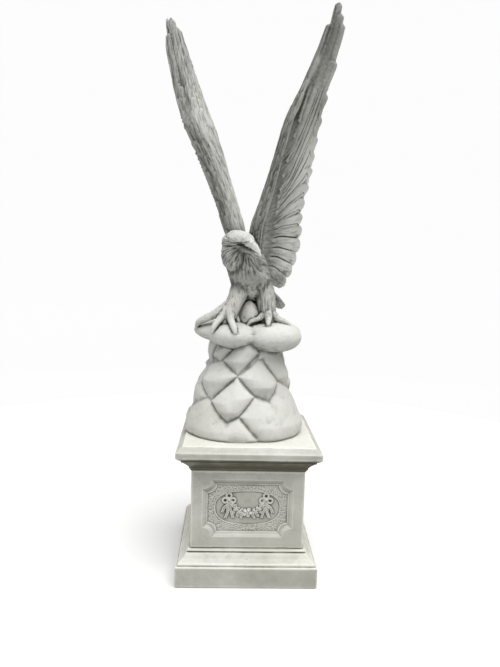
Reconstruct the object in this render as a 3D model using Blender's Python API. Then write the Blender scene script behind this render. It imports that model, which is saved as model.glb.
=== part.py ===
"""Stone eagle with raised wings on a mound of boulders, on a three-part panelled plinth.

Metres, +Z up, front of the plinth towards -Y. The origin is the centre of the plinth's underside.
The eagle is turned a little from the plinth, so it is made in its own frame and turned into place.
"""
import itertools
import math

import bmesh
import bpy
import numpy as np

# heights of the four pieces, and the gap left where two of them touch
BASE_HEIGHT = 0.1341
DIE_HEIGHT = 0.3088
CAP_HEIGHT = 0.1036
STATUE_HEIGHT = 1.6199
GAP = 0.0003

# the base: block, fillet, and a slope up to a small torus under the die
BASE_HALF = 0.270
BASE_BLOCK_TOP = 0.0826
BASE_FILLET_HALF = 0.2615
BASE_FILLET_TOP = 0.0910
BASE_SLOPE_HALF = 0.2310
BASE_SLOPE_TOP = 0.1210
BASE_TOP = BASE_HEIGHT

# the die
DIE_HALF = 0.217
DIE_BOTTOM = BASE_TOP + GAP
DIE_TOP = DIE_BOTTOM + DIE_HEIGHT

# the cap: neck, hollow moulding, upright face and bevelled top
CAP_BOTTOM = DIE_TOP + GAP
CAP_NECK_HALF = 0.2205
CAP_FACE_HALF = 0.2731
CAP_FACE_BOTTOM = CAP_BOTTOM + 0.0599
CAP_FACE_TOP = CAP_BOTTOM + 0.0855
CAP_INNER_HALF = 0.2500
CAP_TOP = CAP_BOTTOM + CAP_HEIGHT

# rounding of the plinth's edges
EDGE = 0.004
# steps of the mouldings, as parts of the way between two of the sizes above, out and up
BASE_CURVE = ((0.79, 0.17), (0.36, 0.47))
BASE_TORUS = ((-0.0045, 0.08), (-0.0040, 0.27), (-0.0015, 0.53), (-0.0035, 0.89), (-0.0060, 1.0))
CAP_CURVE = ((0.00, 0.025), (0.02, 0.12), (0.09, 0.14), (0.11, 0.27), (0.26, 0.44), (0.52, 0.66),
             (0.64, 0.71), (0.65, 0.83), (0.79, 0.89))

# how far apart the Booleans may take two faces to be one, and the angles tried for flat faces
SLACK = 2e-7
FLAT_ANGLES = (2.5, 2.2, 1.9, 1.6, 1.3, 1.0, 0.7, 0.4, 0.2, 0.1)

# the panel sunk into each face of the die
PANEL_Z = DIE_BOTTOM + 0.1586
PANEL_HALF_W = 0.1720
PANEL_HALF_H = 0.1120
PANEL_BAND = 0.0180
PANEL_NOTCH = 0.0360
PANEL_DEPTH = 0.0090
OVAL_HALF_W = 0.1240
OVAL_HALF_H = 0.0660
OVAL_DEPTH = 0.0030

# the garland in the front panel
BOW_X = 0.0713
BOW_Z = PANEL_Z + 0.0335
FLOWER_Z = PANEL_Z - 0.0190
TAIL_Z = PANEL_Z - 0.0410
RELIEF = 0.0070
STRIP_SECTION = ((-1.05, -0.9), (-0.95, 0.1), (-0.4, 0.85), (0.4, 0.85), (0.95, 0.1), (1.05, -0.9))

# Where the eagle stands and how far it is turned. The heights in the tables below are as drawn, from
# the rock's underside at DRAWN_BOTTOM up, and are fitted to STATUE_HEIGHT at the end.
EAGLE_X = -0.020
EAGLE_TURN = math.radians(-15.0)
ROCK_BOTTOM = CAP_TOP + GAP
DRAWN_BOTTOM = 0.5474
DRAWN_HEIGHT = 1.6199

# the head: middle of the crown, where it looks, and the sizes of crown and cheeks
HEAD_MIDDLE = (-0.006, -0.128, 1.309)
HEAD_AHEAD = (0.90, -0.40, -0.17)
CROWN = (0.060, 0.046, 0.038)
CHEEK_MIDDLE = (-0.030, -0.102, 1.262)
CHEEK = (0.049, 0.060, 0.070)
# the beak's middle line with its half width and half height, then the jaw's with its radius
BEAK = (
    (0.024, -0.140, 1.300, 0.017, 0.019), (0.046, -0.156, 1.289, 0.015, 0.018),
    (0.067, -0.170, 1.271, 0.011, 0.014), (0.081, -0.179, 1.254, 0.007, 0.009),
    (0.088, -0.183, 1.241, 0.003, 0.004),
)
BEAK_SECTION = ((1, 0.0), (0.7, 0.7), (0, 1), (-0.7, 0.7), (-1, 0.0), (-0.7, -0.8), (0.7, -0.8))
JAW = ((0.006, -0.136, 1.275, 0.012), (0.036, -0.152, 1.264, 0.009), (0.068, -0.172, 1.249, 0.004))

# legs, egg and toes: points with a radius each
LEFT_LEG = ((-0.010, -0.024, 1.165, 0.046), (-0.016, -0.046, 1.125, 0.040), (-0.028, -0.072, 1.080, 0.034),
            (-0.042, -0.090, 1.035, 0.033), (-0.054, -0.098, 0.970, 0.036))
RIGHT_LEG = ((0.046, 0.004, 1.165, 0.044), (0.069, -0.008, 1.125, 0.043), (0.086, -0.020, 1.080, 0.037),
             (0.092, -0.028, 1.035, 0.035), (0.095, -0.030, 0.970, 0.036))
TOES = (
    ((-0.040, -0.086, 1.066, 0.026), (-0.112, -0.110, 1.019, 0.0165), (-0.160, -0.104, 0.994, 0.0135),
     (-0.180, -0.095, 0.970, 0.006)),
    ((-0.056, -0.098, 1.046, 0.021), (-0.076, -0.138, 1.002, 0.0130), (-0.086, -0.156, 0.984, 0.0115),
     (-0.094, -0.168, 0.956, 0.005)),
    ((-0.042, -0.098, 1.046, 0.021), (-0.024, -0.138, 1.004, 0.0135), (-0.008, -0.160, 0.982, 0.0125),
     (0.002, -0.170, 0.960, 0.006)),
    ((-0.050, -0.090, 1.014, 0.018), (-0.028, -0.058, 0.998, 0.0120), (-0.016, -0.030, 0.984, 0.004)),
    ((0.084, -0.044, 1.028, 0.018), (0.062, -0.078, 1.010, 0.0095), (0.040, -0.092, 0.998, 0.0075),
     (0.030, -0.098, 0.984, 0.004)),
    ((0.100, -0.046, 1.030, 0.020), (0.107, -0.070, 1.011, 0.0125), (0.112, -0.100, 0.990, 0.006)),
    ((0.112, -0.032, 1.030, 0.021), (0.142, -0.036, 1.010, 0.0130), (0.186, -0.020, 0.990, 0.006)),
    ((0.106, -0.006, 1.020, 0.016), (0.118, 0.018, 1.002, 0.0120), (0.126, 0.036, 0.984, 0.005)),
)
EGG_MIDDLE = (0.026, -0.047, 1.020)
EGG = (0.041, 0.042, 0.062)
# fill between the legs, behind the egg
BETWEEN_LEGS_MIDDLE = (0.022, 0.028, 1.040)
BETWEEN_LEGS = (0.080, 0.034, 0.110)

# the tail: half the fan's spread at root and tip, middle of root and tip, and the feathers' half width
TAIL_SPREAD = (0.020, 0.080)
TAIL_ROOT = (0.030, 0.060, 1.150)
TAIL_TIP = (0.035, 0.212, 1.028)
TAIL_HALF = 0.024
TAIL_THICK = 0.008

# Sections across one raised wing, by height. Each has the front ridge, the inner bulge and the
# trailing edge as (outward, backward) from the middle of the eagle.
WING_SECTIONS = (
    (1.10, (0.030, 0.060), (0.010, 0.080), (0.101, 0.200)),
    (1.20, (0.045, 0.015), (0.005, 0.030), (0.140, 0.262)),
    (1.30, (0.055, -0.015), (0.000, 0.005), (0.165, 0.296)),
    (1.37, (0.066, -0.023), (0.009, -0.012), (0.175, 0.288)),
    (1.45, (0.093, -0.032), (0.035, -0.010), (0.189, 0.228)),
    (1.55, (0.125, -0.062), (0.068, -0.006), (0.218, 0.158)),
    (1.65, (0.158, -0.098), (0.103, -0.020), (0.247, 0.045)),
    (1.75, (0.187, -0.110), (0.135, -0.040), (0.271, -0.010)),
    (1.85, (0.216, -0.088), (0.178, -0.024), (0.294, -0.034)),
    (1.95, (0.248, -0.062), (0.219, -0.018), (0.319, -0.028)),
    (2.05, (0.277, -0.050), (0.259, -0.014), (0.339, -0.036)),
    (2.17, (0.316, -0.060), (0.302, -0.030), (0.353, -0.048)),
)
# the other wing is raised a little more to the side, and its trailing edge lies further back
LEFT_WING_SECTIONS = (
    (1.10, (0.030, 0.060), (0.010, 0.080), (0.085, 0.205)),
    (1.20, (0.050, 0.015), (0.003, 0.030), (0.105, 0.268)),
    (1.30, (0.076, -0.010), (0.000, 0.005), (0.125, 0.296)),
    (1.37, (0.105, -0.013), (0.014, -0.006), (0.160, 0.290)),
    (1.45, (0.130, -0.021), (0.040, -0.003), (0.166, 0.227)),
    (1.55, (0.166, -0.052), (0.076, 0.002), (0.198, 0.179)),
    (1.65, (0.205, -0.080), (0.104, -0.010), (0.219, 0.072)),
    (1.75, (0.250, -0.092), (0.137, -0.030), (0.254, 0.025)),
    (1.85, (0.284, -0.075), (0.183, -0.015), (0.282, 0.014)),
    (1.95, (0.309, -0.052), (0.224, -0.009), (0.305, 0.022)),
    (2.05, (0.332, -0.042), (0.266, -0.008), (0.345, 0.016)),
    (2.17, (0.345, -0.042), (0.310, -0.022), (0.352, -0.006)),
)
# levels of the rings of the wing's core, and the coverts' roots, length and half width
CORE_LEVELS = (1.16, 1.24, 1.30, 1.37, 1.45, 1.55, 1.65, 1.75, 1.85, 1.95, 2.05, 2.11)
# how far the arm swells between ridge and bulge, as a part of their distance
ARM_SWELL = 0.16
COVERTS = (1.362, 1.408, 1.454, 1.500, 1.546, 1.592, 1.638, 1.684, 1.730)
COVERT_LENGTH = 0.075
COVERT_HALF = 0.016
# tips of the flight feathers on the trailing edge, and how far below the tip each one starts
FEATHERS = (
    (2.166, 0.40), (2.130, 0.38), (2.098, 0.40), (1.976, 0.36), (1.864, 0.30), (1.784, 0.27),
    (1.717, 0.23), (1.663, 0.20), (1.612, 0.165), (1.557, 0.13), (1.495, 0.10), (1.430, 0.065),
    (1.372, 0.030), (1.311, 0.000), (1.249, -0.025), (1.195, -0.045), (1.138, -0.065),
)
# where the three topmost feathers end across the wing
TIP_PLACES = (0.34, 0.78, 1.0)
# half widths of the flight feathers of the tip, the hand and the arm
FEATHER_HALVES = (0.018, 0.021, 0.028)
# growth of a feather's width along its length, for long and for short ones
BLADE = ((0.0, 0.60), (0.40, 0.95), (0.84, 1.00), (0.95, 0.80), (1.0, 0.42))
SHORT_BLADE = ((0.0, 0.60), (0.60, 1.00), (0.88, 0.80), (1.0, 0.40))

# rings of the torso and neck: height, outward, backward, half width, half depth
TORSO = (
    (1.078, 0.028, 0.040, 0.048, 0.056), (1.096, 0.024, 0.032, 0.072, 0.082),
    (1.125, 0.020, 0.022, 0.082, 0.098), (1.160, 0.015, 0.002, 0.083, 0.106),
    (1.200, 0.006, -0.012, 0.083, 0.110), (1.240, -0.004, -0.028, 0.082, 0.108),
    (1.280, -0.012, -0.042, 0.072, 0.098), (1.318, -0.020, -0.050, 0.054, 0.076),
    (1.345, -0.020, -0.046, 0.030, 0.046),
)
# rings of the mound under its boulders: height, x, y, half width, half depth
MOUND = (
    (0.540, -0.024, 0.000, 0.236, 0.204), (0.590, -0.023, 0.000, 0.220, 0.188),
    (0.650, -0.024, 0.002, 0.196, 0.164), (0.720, -0.026, 0.004, 0.172, 0.138),
    (0.790, -0.016, 0.004, 0.150, 0.114), (0.835, -0.014, 0.004, 0.126, 0.100),
    (0.880, -0.012, 0.004, 0.120, 0.100), (0.920, -0.010, 0.004, 0.146, 0.126),
    (0.955, -0.010, 0.006, 0.172, 0.146), (0.981, -0.010, 0.008, 0.156, 0.130),
)
# boulders that show at the front: top, right, bottom and left corner, bulge and root depth
BOULDERS = (
    ((-0.016, -0.116, 0.940), (0.036, -0.116, 0.884),
     (-0.049, -0.136, 0.798), (-0.116, -0.106, 0.858), 0.034, 0.05),
    ((-0.122, -0.086, 0.858), (-0.052, -0.130, 0.786),
     (-0.148, -0.124, 0.692), (-0.190, -0.060, 0.778), 0.038, 0.05),
    ((0.034, -0.108, 0.866), (0.112, -0.088, 0.784),
     (0.068, -0.136, 0.694), (-0.054, -0.138, 0.786), 0.038, 0.05),
    ((-0.058, -0.134, 0.794), (0.022, -0.158, 0.716),
     (-0.084, -0.180, 0.616), (-0.158, -0.136, 0.702), 0.036, 0.05),
    ((0.044, -0.084, 0.884), (0.132, -0.024, 0.860),
     (0.160, -0.004, 0.752), (0.082, -0.104, 0.764), 0.022, 0.05),
    ((0.086, -0.106, 0.786), (0.204, 0.010, 0.590),
     (0.078, -0.196, 0.545), (-0.034, -0.160, 0.662), 0.030, 0.05),
    ((-0.150, -0.122, 0.700), (0.000, -0.176, 0.650),
     (0.050, -0.200, 0.540), (-0.230, -0.096, 0.548), 0.022, 0.05),
    ((-0.146, -0.030, 0.846), (-0.166, -0.092, 0.740),
     (-0.196, -0.112, 0.640), (-0.250, 0.030, 0.580), 0.016, 0.05),
    ((-0.176, -0.020, 0.914), (-0.122, -0.078, 0.894),
     (-0.132, -0.068, 0.826), (-0.190, -0.010, 0.850), 0.026, 0.05),
    ((-0.136, -0.082, 0.906), (-0.062, -0.114, 0.892),
     (-0.086, -0.106, 0.836), (-0.150, -0.070, 0.842), 0.022, 0.05),
)
# lobes of the slab that the feet stand on: middle, half sizes, and how boxy each is
SLAB = (
    ((-0.070, -0.084, 0.946), (0.090, 0.080, 0.052), 2.0),
    ((0.088, -0.062, 0.938), (0.112, 0.104, 0.060), 2.0),
    ((-0.142, 0.004, 0.956), (0.085, 0.090, 0.036), 2.0),
    ((0.128, 0.050, 0.944), (0.078, 0.086, 0.042), 2.2),
    ((-0.010, 0.020, 0.954), (0.176, 0.146, 0.044), 2.8),
)
SLAB_MIDDLE = (0.0, -0.020, 0.955)
# how sharply the lobes meet, and how far from its middle the slab can reach
SLAB_BLEND = 9
SLAB_REACH = 0.280
# plainer boulders round the back: height, reach up and down, how many, and the first one's turn
BACK_ROWS = ((0.660, 0.085, 4, 18), (0.780, 0.075, 4, 38))
BACK_TURN = 40
BACK_HALF_TURN = 0.40
BACK_BULGE = 0.030
BACK_ROOT = 0.050


def stone(name, colour):
    """A plain matt stone material."""
    material = bpy.data.materials.new(name)
    material.use_nodes = True
    shader = material.node_tree.nodes["Principled BSDF"]
    shader.inputs["Base Color"].default_value = (*colour, 1.0)
    shader.inputs["Roughness"].default_value = 0.88
    shader.inputs["Metallic"].default_value = 0.0
    return material


def mesh_object(name, points, faces, material=None):
    """A new object from points and faces, its faces turned outwards."""
    mesh = bpy.data.meshes.new(name)
    mesh.from_pydata([tuple(p) for p in points], [], faces)
    body = bmesh.new()
    body.from_mesh(mesh)
    bmesh.ops.remove_doubles(body, verts=body.verts, dist=1e-6)
    bmesh.ops.recalc_face_normals(body, faces=body.faces)
    body.to_mesh(mesh)
    body.free()
    if material:
        mesh.materials.append(material)
    made = bpy.data.objects.new(name, mesh)
    bpy.context.collection.objects.link(made)
    return made


def loft(name, rings, material=None):
    """A closed body through rings that have the same number of points."""
    count = len(rings[0])
    points = [p for ring in rings for p in ring]
    faces = []
    for row in range(len(rings) - 1):
        for k in range(count):
            nxt = (k + 1) % count
            a, b = row * count + k, row * count + nxt
            faces.append((a, b, b + count, a + count))
    faces.append(tuple(range(count))[::-1])
    faces.append(tuple(range((len(rings) - 1) * count, len(rings) * count)))
    return mesh_object(name, points, faces, material)


def square_rings(profile):
    """Rings of a square moulding from its half widths and heights."""
    corners = ((-1, -1), (1, -1), (1, 1), (-1, 1))
    return [[(sx * half, sy * half, z) for sx, sy in corners] for half, z in profile]


def closed_volume(mesh):
    """Volume of a mesh, or None where it isn't closed."""
    body = bmesh.new()
    body.from_mesh(mesh)
    closed = bool(body.faces) and all(len(e.link_faces) == 2 for e in body.edges)
    volume = body.calc_volume() if closed else None
    body.free()
    return volume


def combine(target, operand, operation):
    """Apply one Boolean to the target and remove the operand.

    The exact solver comes first, and the manifold one only where its result isn't sound.
    """
    before = closed_volume(target.data)
    other = closed_volume(operand.data)
    low = max(before, other) if operation == "UNION" else before - other
    high = before + other if operation == "UNION" else before
    cut = target.modifiers.new(operation, "BOOLEAN")
    cut.object = operand
    cut.operation = operation
    for solver in ("EXACT", "MANIFOLD"):
        cut.solver = solver
        graph = bpy.context.evaluated_depsgraph_get()
        mesh = bpy.data.meshes.new_from_object(target.evaluated_get(graph))
        after = closed_volume(mesh)
        if after is not None and low - SLACK < after < high + SLACK:
            break
    target.modifiers.clear()
    target.data = mesh
    bpy.data.objects.remove(operand)
    return target


def unite(parts):
    """One closed body from overlapping ones."""
    whole = parts[0]
    for part in parts[1:]:
        combine(whole, part, "UNION")
    return whole


def apply_turn(obj, turn, shift):
    """Turn an object's points about Z, then move them."""
    cos, sin = math.cos(turn), math.sin(turn)
    for vertex in obj.data.vertices:
        x, y, z = vertex.co
        vertex.co = (cos * x - sin * y + shift, sin * x + cos * y, z)


def mirror(obj):
    """Mirror an object left to right."""
    body = bmesh.new()
    body.from_mesh(obj.data)
    for vertex in body.verts:
        vertex.co.x = -vertex.co.x
    bmesh.ops.reverse_faces(body, faces=body.faces)
    body.to_mesh(obj.data)
    body.free()


def superellipsoid(name, place, steps, power):
    """A rounded block: place turns a point of the unit block into a point of space."""
    points = []
    faces = []
    index = {}

    def corner(key):
        if key not in index:
            raw = np.array(key, float) / steps
            raw = np.sin(raw * math.pi / 4) / math.sin(math.pi / 4)
            size = np.sum(np.abs(raw) ** power) ** (1 / power)
            index[key] = len(points)
            points.append(place(raw / size))
        return index[key]

    for axis in range(3):
        for side in (-steps, steps):
            for i in range(-steps, steps, 2):
                for j in range(-steps, steps, 2):
                    square = []
                    for di, dj in ((0, 0), (2, 0), (2, 2), (0, 2)):
                        key = [i + di, j + dj]
                        key.insert(axis, side)
                        square.append(corner(tuple(key)))
                    faces.append(square)
    return mesh_object(name, points, faces)


def ellipsoid(name, centre, radii, steps=3, power=2.0, axes=None):
    """An ellipsoid or rounded block with its own axes."""
    axes = np.eye(3) if axes is None else np.array(axes, float)
    centre = np.array(centre, float)
    return superellipsoid(name, lambda u: centre + (u * radii) @ axes, steps, power)


def cushion(name, corners, bulge, root, steps=3):
    """A boulder with four corners: it swells outwards and its root sinks into the mound."""
    top, right, bottom, left = (np.array(c, float) for c in corners)
    normal = np.cross(right - left, top - bottom)
    normal /= np.linalg.norm(normal)

    def place(u):
        # the block is turned so that its corners point up, right, down and left
        a, b = u[0], u[1]
        across = ((1 + a) * (1 + b) * top + (1 + a) * (1 - b) * right
                  + (1 - a) * (1 - b) * bottom + (1 - a) * (1 + b) * left) / 4
        return across + normal * u[2] * (bulge if u[2] > 0 else root)

    return superellipsoid(name, place, steps, 4.0)


def tube(name, path, sides=6):
    """A round tapering body along points that have a radius each."""
    spine = np.array([p[:3] for p in path], float)
    rise = abs(spine[-1][2] - spine[0][2]) / np.linalg.norm(spine[-1] - spine[0])
    reference = (0.96, 0.25, 0.10) if rise > 0.7 else (0.12, 0.23, 0.97)
    rings = []
    for k, (x, y, z, radius) in enumerate(path):
        ahead = spine[min(k + 1, len(spine) - 1)] - spine[max(k - 1, 0)]
        ahead /= np.linalg.norm(ahead)
        side = np.cross(ahead, reference)
        side /= np.linalg.norm(side)
        over = np.cross(side, ahead)
        ring = []
        for s in range(sides):
            turn = 2 * math.pi * (s + 0.5) / sides
            ring.append(spine[k] + radius * (math.cos(turn) * side + math.sin(turn) * over))
        rings.append(ring)
    return loft(name, rings)


def ellipse_rings(table, sides):
    """Level rings from heights, middles and half sizes."""
    rings = []
    for z, cx, cy, a, b in table:
        turns = [2 * math.pi * (k + 0.5) / sides for k in range(sides)]
        rings.append([(cx + a * math.cos(t), cy + b * math.sin(t), z) for t in turns])
    return rings


def wing_lines(z, table):
    """Front ridge, inner bulge and trailing edge of the wing at a height."""
    heights = [s[0] for s in table]
    found = []
    for line in (1, 2, 3):
        x = np.interp(z, heights, [s[line][0] for s in table])
        y = np.interp(z, heights, [s[line][1] for s in table])
        found.append(np.array((x, y, z)))
    return found


def wing_surface(c, z, table):
    """Middle of the wing's web: c runs from the front ridge to the trailing edge."""
    ridge, bulge, trail = wing_lines(z, table)
    chord = trail - ridge
    length = np.linalg.norm(chord)
    inward = np.array((-chord[1], chord[0], 0.0)) / length
    hollow = min(0.030, 0.16 * length) * math.sin(math.pi * min(max(c, 0.0), 1.0) ** 0.7)
    return ridge + c * chord + inward * hollow


def wing_normal(c, z, table):
    """Direction out of the wing's underside, which faces outwards and forwards."""
    step = 0.01
    along = wing_surface(c + step, z, table) - wing_surface(c - step, z, table)
    up = wing_surface(c, z + step, table) - wing_surface(c, z - step, table)
    normal = np.cross(along, up)
    normal /= np.linalg.norm(normal)
    ridge, bulge, trail = wing_lines(z, table)
    return normal if np.dot(normal, ridge - bulge) > 0 else -normal


def feather(table, start, end, width, thick, lift, tilt, bend):
    """A blade on the wing's web from start to end, both as (c, height)."""
    rings = []
    spine = []
    for s, grow in BLADE:
        c = start[0] + (end[0] - start[0]) * s ** bend
        z = start[1] + (end[1] - start[1]) * s
        spine.append((wing_surface(c, z, table), wing_normal(c, z, table), grow))
    for k, (centre, normal, grow) in enumerate(spine):
        ahead = spine[min(k + 1, len(spine) - 1)][0] - spine[max(k - 1, 0)][0]
        ahead /= np.linalg.norm(ahead)
        side = np.cross(normal, ahead)
        half = width * grow
        body = thick * (0.4 + 0.6 * min(1.0, grow))
        middle = centre + normal * lift
        ring = [
            middle + side * half + normal * tilt * half,
            middle + normal * body,
            middle - side * half - normal * tilt * half,
            middle - normal * body,
        ]
        rings.append(ring)
    return loft("flight_feather", rings)


def wing_core(table):
    """The arm of the wing and the web behind it, as one body."""
    rings = []
    for z in CORE_LEVELS:
        ridge, bulge, trail = wing_lines(z, table)
        chord = trail - ridge
        length = np.linalg.norm(chord)
        inward = np.array((-chord[1], chord[0], 0.0)) / length
        web = min(0.011, 0.10 * length)
        lead = ridge - bulge
        out = np.array((lead[1], -lead[0], 0.0)) / np.linalg.norm(lead)
        out = out if out[1] < 0 else -out
        nose = ridge + 0.35 * (bulge - ridge) + out * ARM_SWELL * np.linalg.norm(lead)
        rings.append([
            ridge,
            nose,
            bulge,
            wing_surface(0.50, z, table) + inward * 1.6 * web,
            wing_surface(0.90, z, table) + inward * 0.4 * web,
            wing_surface(0.90, z, table) - inward * 0.4 * web,
            wing_surface(0.40, z, table) - inward * web,
            wing_surface(0.10, z, table) - inward * web,
        ])
    return loft("wing_core", rings)


def build_wing(table):
    """The wing on the side of +x: its core, flight feathers and covert feathers."""
    parts = [wing_core(table)]
    for k, (tip, drop) in enumerate(FEATHERS):
        ridge, bulge, trail = wing_lines(tip, table)
        chord = np.linalg.norm(trail - ridge)
        width = FEATHER_HALVES[0 if tip > 2.0 else (1 if tip > 1.70 else 2)]
        # the upper feathers lie along the trailing edge, the lower ones point out across it
        along_edge = min(1.0, max(0.0, (tip - 1.30) / 0.35))
        end_c = 1.0 - along_edge * 0.72 * width / chord
        end_c = TIP_PLACES[k] if k < len(TIP_PLACES) else end_c
        start_c = 0.30 if tip > 1.70 else 0.36
        # every second one lies a little higher, and all are tilted so that they overlap
        parts.append(feather(table, (start_c, tip - drop), (end_c, tip), width, 0.0065, 0.001 * (k % 2), 0.14,
                             1.0 - 0.25 * along_edge))
    for z in COVERTS:
        parts.append(covert(table, z))
    return unite(parts)


def covert(table, z):
    """A short feather that lies on the arm, just behind its ridge, pointing up."""
    rings = []
    for s, grow in SHORT_BLADE:
        height = z + COVERT_LENGTH * s
        ridge, bulge, trail = wing_lines(height, table)
        lead = ridge - bulge
        span = np.linalg.norm(lead)
        side = lead / span
        out = np.array((side[1], -side[0], 0.0))
        out = out if out[1] < 0 else -out
        place = 0.12 + 0.04 * s
        middle = ridge - side * span * place + out * (ARM_SWELL * span * place / 0.35 + 0.0025 * s - 0.001)
        half = min(COVERT_HALF, 0.30 * span) * grow
        rings.append([middle + side * half - out * 0.002, middle + out * 0.005,
                      middle - side * half - out * 0.002, middle - out * 0.012])
    return loft("covert", rings)


def build_tail():
    """Five tail feathers that hang behind the legs."""
    parts = []
    for k in range(5):
        spread = (k - 2) / 2
        root = np.array(TAIL_ROOT) + (TAIL_SPREAD[0] * spread, 0, 0)
        tip = np.array(TAIL_TIP) + (TAIL_SPREAD[1] * spread, -0.020 * abs(spread), 0.012 * abs(spread))
        ahead = (tip - root) / np.linalg.norm(tip - root)
        side = np.cross(ahead, (0.0, 0.6, 0.8))
        side /= np.linalg.norm(side)
        over = np.cross(side, ahead)
        rings = []
        for s, grow in BLADE:
            middle = root + (tip - root) * s + over * (0.004 * (k % 2))
            half = TAIL_HALF * grow
            rings.append([middle + side * half, middle + over * TAIL_THICK, middle - side * half,
                          middle - over * TAIL_THICK])
        parts.append(loft(f"tail_{k}", rings))
    return parts


def build_head():
    """The head, turned to one side and down: crown, cheeks, hooked beak and jaw."""
    ahead = np.array(HEAD_AHEAD)
    ahead /= np.linalg.norm(ahead)
    side = np.cross(ahead, (0.0, 0.0, 1.0))
    side /= np.linalg.norm(side)
    axes = (ahead, side, np.cross(side, ahead))
    parts = [
        ellipsoid("crown", HEAD_MIDDLE, CROWN, 3, 2.2, axes),
        ellipsoid("cheeks", CHEEK_MIDDLE, CHEEK, 3, 2.0),
        tube("jaw", JAW, 6),
    ]
    spine = np.array([row[:3] for row in BEAK])
    rings = []
    for k, (x, y, z, wide, tall) in enumerate(BEAK):
        along = spine[min(k + 1, len(spine) - 1)] - spine[max(k - 1, 0)]
        along /= np.linalg.norm(along)
        across = np.cross(along, axes[2])
        across /= np.linalg.norm(across)
        over = np.cross(across, along)
        rings.append([spine[k] + across * a * wide + over * b * tall for a, b in BEAK_SECTION])
    parts.append(loft("beak", rings))
    return parts


def build_legs():
    """Feathered legs, feet and toes, and the egg-shaped stone between them."""
    parts = [
        tube("left_leg", LEFT_LEG, 8),
        tube("right_leg", RIGHT_LEG, 8),
        ellipsoid("egg", EGG_MIDDLE, EGG, 3, 2.2),
        ellipsoid("between_legs", BETWEEN_LEGS_MIDDLE, BETWEEN_LEGS, 2, 2.0),
    ]
    for path in TOES:
        parts.append(tube("toe", path, 5))
    return parts


def build_slab():
    """The slab as one stone: its lobes flow into each other, with notches between them at the rim."""
    start = np.array(SLAB_MIDDLE)

    def place(u):
        total = 0.0
        for middle, radii, power in SLAB:
            # walk outwards from the slab's middle to where this lobe ends
            reach = 0.0
            for along in np.linspace(0.0, SLAB_REACH, 141):
                if np.sum(np.abs((start + along * u - middle) / radii) ** power) < 1:
                    reach = along
            total += reach ** SLAB_BLEND
        return start + u * total ** (1 / SLAB_BLEND)

    return superellipsoid("slab", place, 8, 2.0)


def build_rock():
    """The mound of boulders with the slab on top."""
    parts = [loft("mound", ellipse_rings(MOUND, 18)), build_slab()]
    for *corners, bulge, root in BOULDERS:
        parts.append(cushion("boulder", corners, bulge, root))
    heights = [r[0] for r in MOUND]
    for z, reach, count, first in BACK_ROWS:
        for k in range(count):
            turn = math.radians(first + BACK_TURN * k)

            def edge(angle, height):
                cx, cy, a, b = (np.interp(height, heights, [r[i] for r in MOUND]) for i in (1, 2, 3, 4))
                return (cx + a * math.cos(angle), cy + b * math.sin(angle), height)

            corners = (edge(turn, z + reach), edge(turn + BACK_HALF_TURN, z), edge(turn, z - reach),
                       edge(turn - BACK_HALF_TURN, z))
            parts.append(cushion("back_boulder", corners, BACK_BULGE, BACK_ROOT, 2))
    return parts


def build_eagle(material):
    """The eagle and its rock as one casting."""
    wing = build_wing(WING_SECTIONS)
    left_wing = build_wing(LEFT_WING_SECTIONS)
    mirror(left_wing)
    torso = loft("torso", ellipse_rings(TORSO, 12))
    bird = unite([torso, *build_head(), *build_legs(), *build_tail(), wing, left_wing])
    apply_turn(bird, EAGLE_TURN, EAGLE_X)
    rock = unite(build_rock())
    whole = unite([rock, bird])
    below = DRAWN_BOTTOM - 0.2
    under = loft("under", [[(x, y, z) for x, y in ((-0.5, -0.5), (0.5, -0.5), (0.5, 0.5), (-0.5, 0.5))]
                           for z in (below, DRAWN_BOTTOM)])
    combine(whole, under, "DIFFERENCE")
    for vertex in whole.data.vertices:
        vertex.co.z = ROCK_BOTTOM + (vertex.co.z - DRAWN_BOTTOM) * STATUE_HEIGHT / DRAWN_HEIGHT
    whole.name = whole.data.name = "eagle_on_rock"
    whole.data.materials.clear()
    whole.data.materials.append(material)
    return whole


def split_faces(body):
    """Cut every face into triangles, with no new edge on top of one that is there already."""
    source = body.faces.layers.int.new("source")
    for number, face in enumerate(body.faces):
        face[source] = number
    bmesh.ops.triangulate(body, faces=body.faces)
    for edge in [e for e in body.edges if len(e.link_faces) > 2]:
        for first, second in itertools.combinations(list(edge.link_faces), 2):
            if first[source] != second[source]:
                continue
            start, end, apex = first.verts
            while {start, end} != set(edge.verts):
                start, end, apex = end, apex, start
            other = next(v for v in second.verts if v not in edge.verts)
            bmesh.ops.delete(body, geom=[first, second], context="FACES_ONLY")
            body.faces.new((apex, start, other))
            body.faces.new((apex, other, end))
            break
    body.faces.layers.int.remove(source)


def tidy(obj):
    """Weld what the Booleans left and drop edges inside nearly flat faces.

    The widest angle that leaves the piece closed is taken.
    """
    for degrees in FLAT_ANGLES:
        body = bmesh.new()
        body.from_mesh(obj.data)
        bmesh.ops.remove_doubles(body, verts=body.verts, dist=1e-6)
        bmesh.ops.dissolve_degenerate(body, dist=1e-6, edges=body.edges)
        bmesh.ops.dissolve_limit(body, angle_limit=math.radians(degrees), verts=body.verts, edges=body.edges)
        split_faces(body)
        bmesh.ops.recalc_face_normals(body, faces=body.faces)
        closed = all(len(e.link_faces) == 2 for e in body.edges)
        if closed:
            body.to_mesh(obj.data)
        body.free()
        if closed:
            return


def notched_outline(half_w, half_h, notch, steps=5):
    """A rectangle whose corners are hollowed by quarter circles, as (x, z) points."""
    points = []
    for sx, sz, first in ((1, 1, 270), (-1, 1, 0), (-1, -1, 90), (1, -1, 180)):
        for k in range(steps + 1):
            turn = math.radians(first - 90 * k / steps)
            points.append((sx * half_w + notch * math.cos(turn), sz * half_h + notch * math.sin(turn)))
    return points


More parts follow.
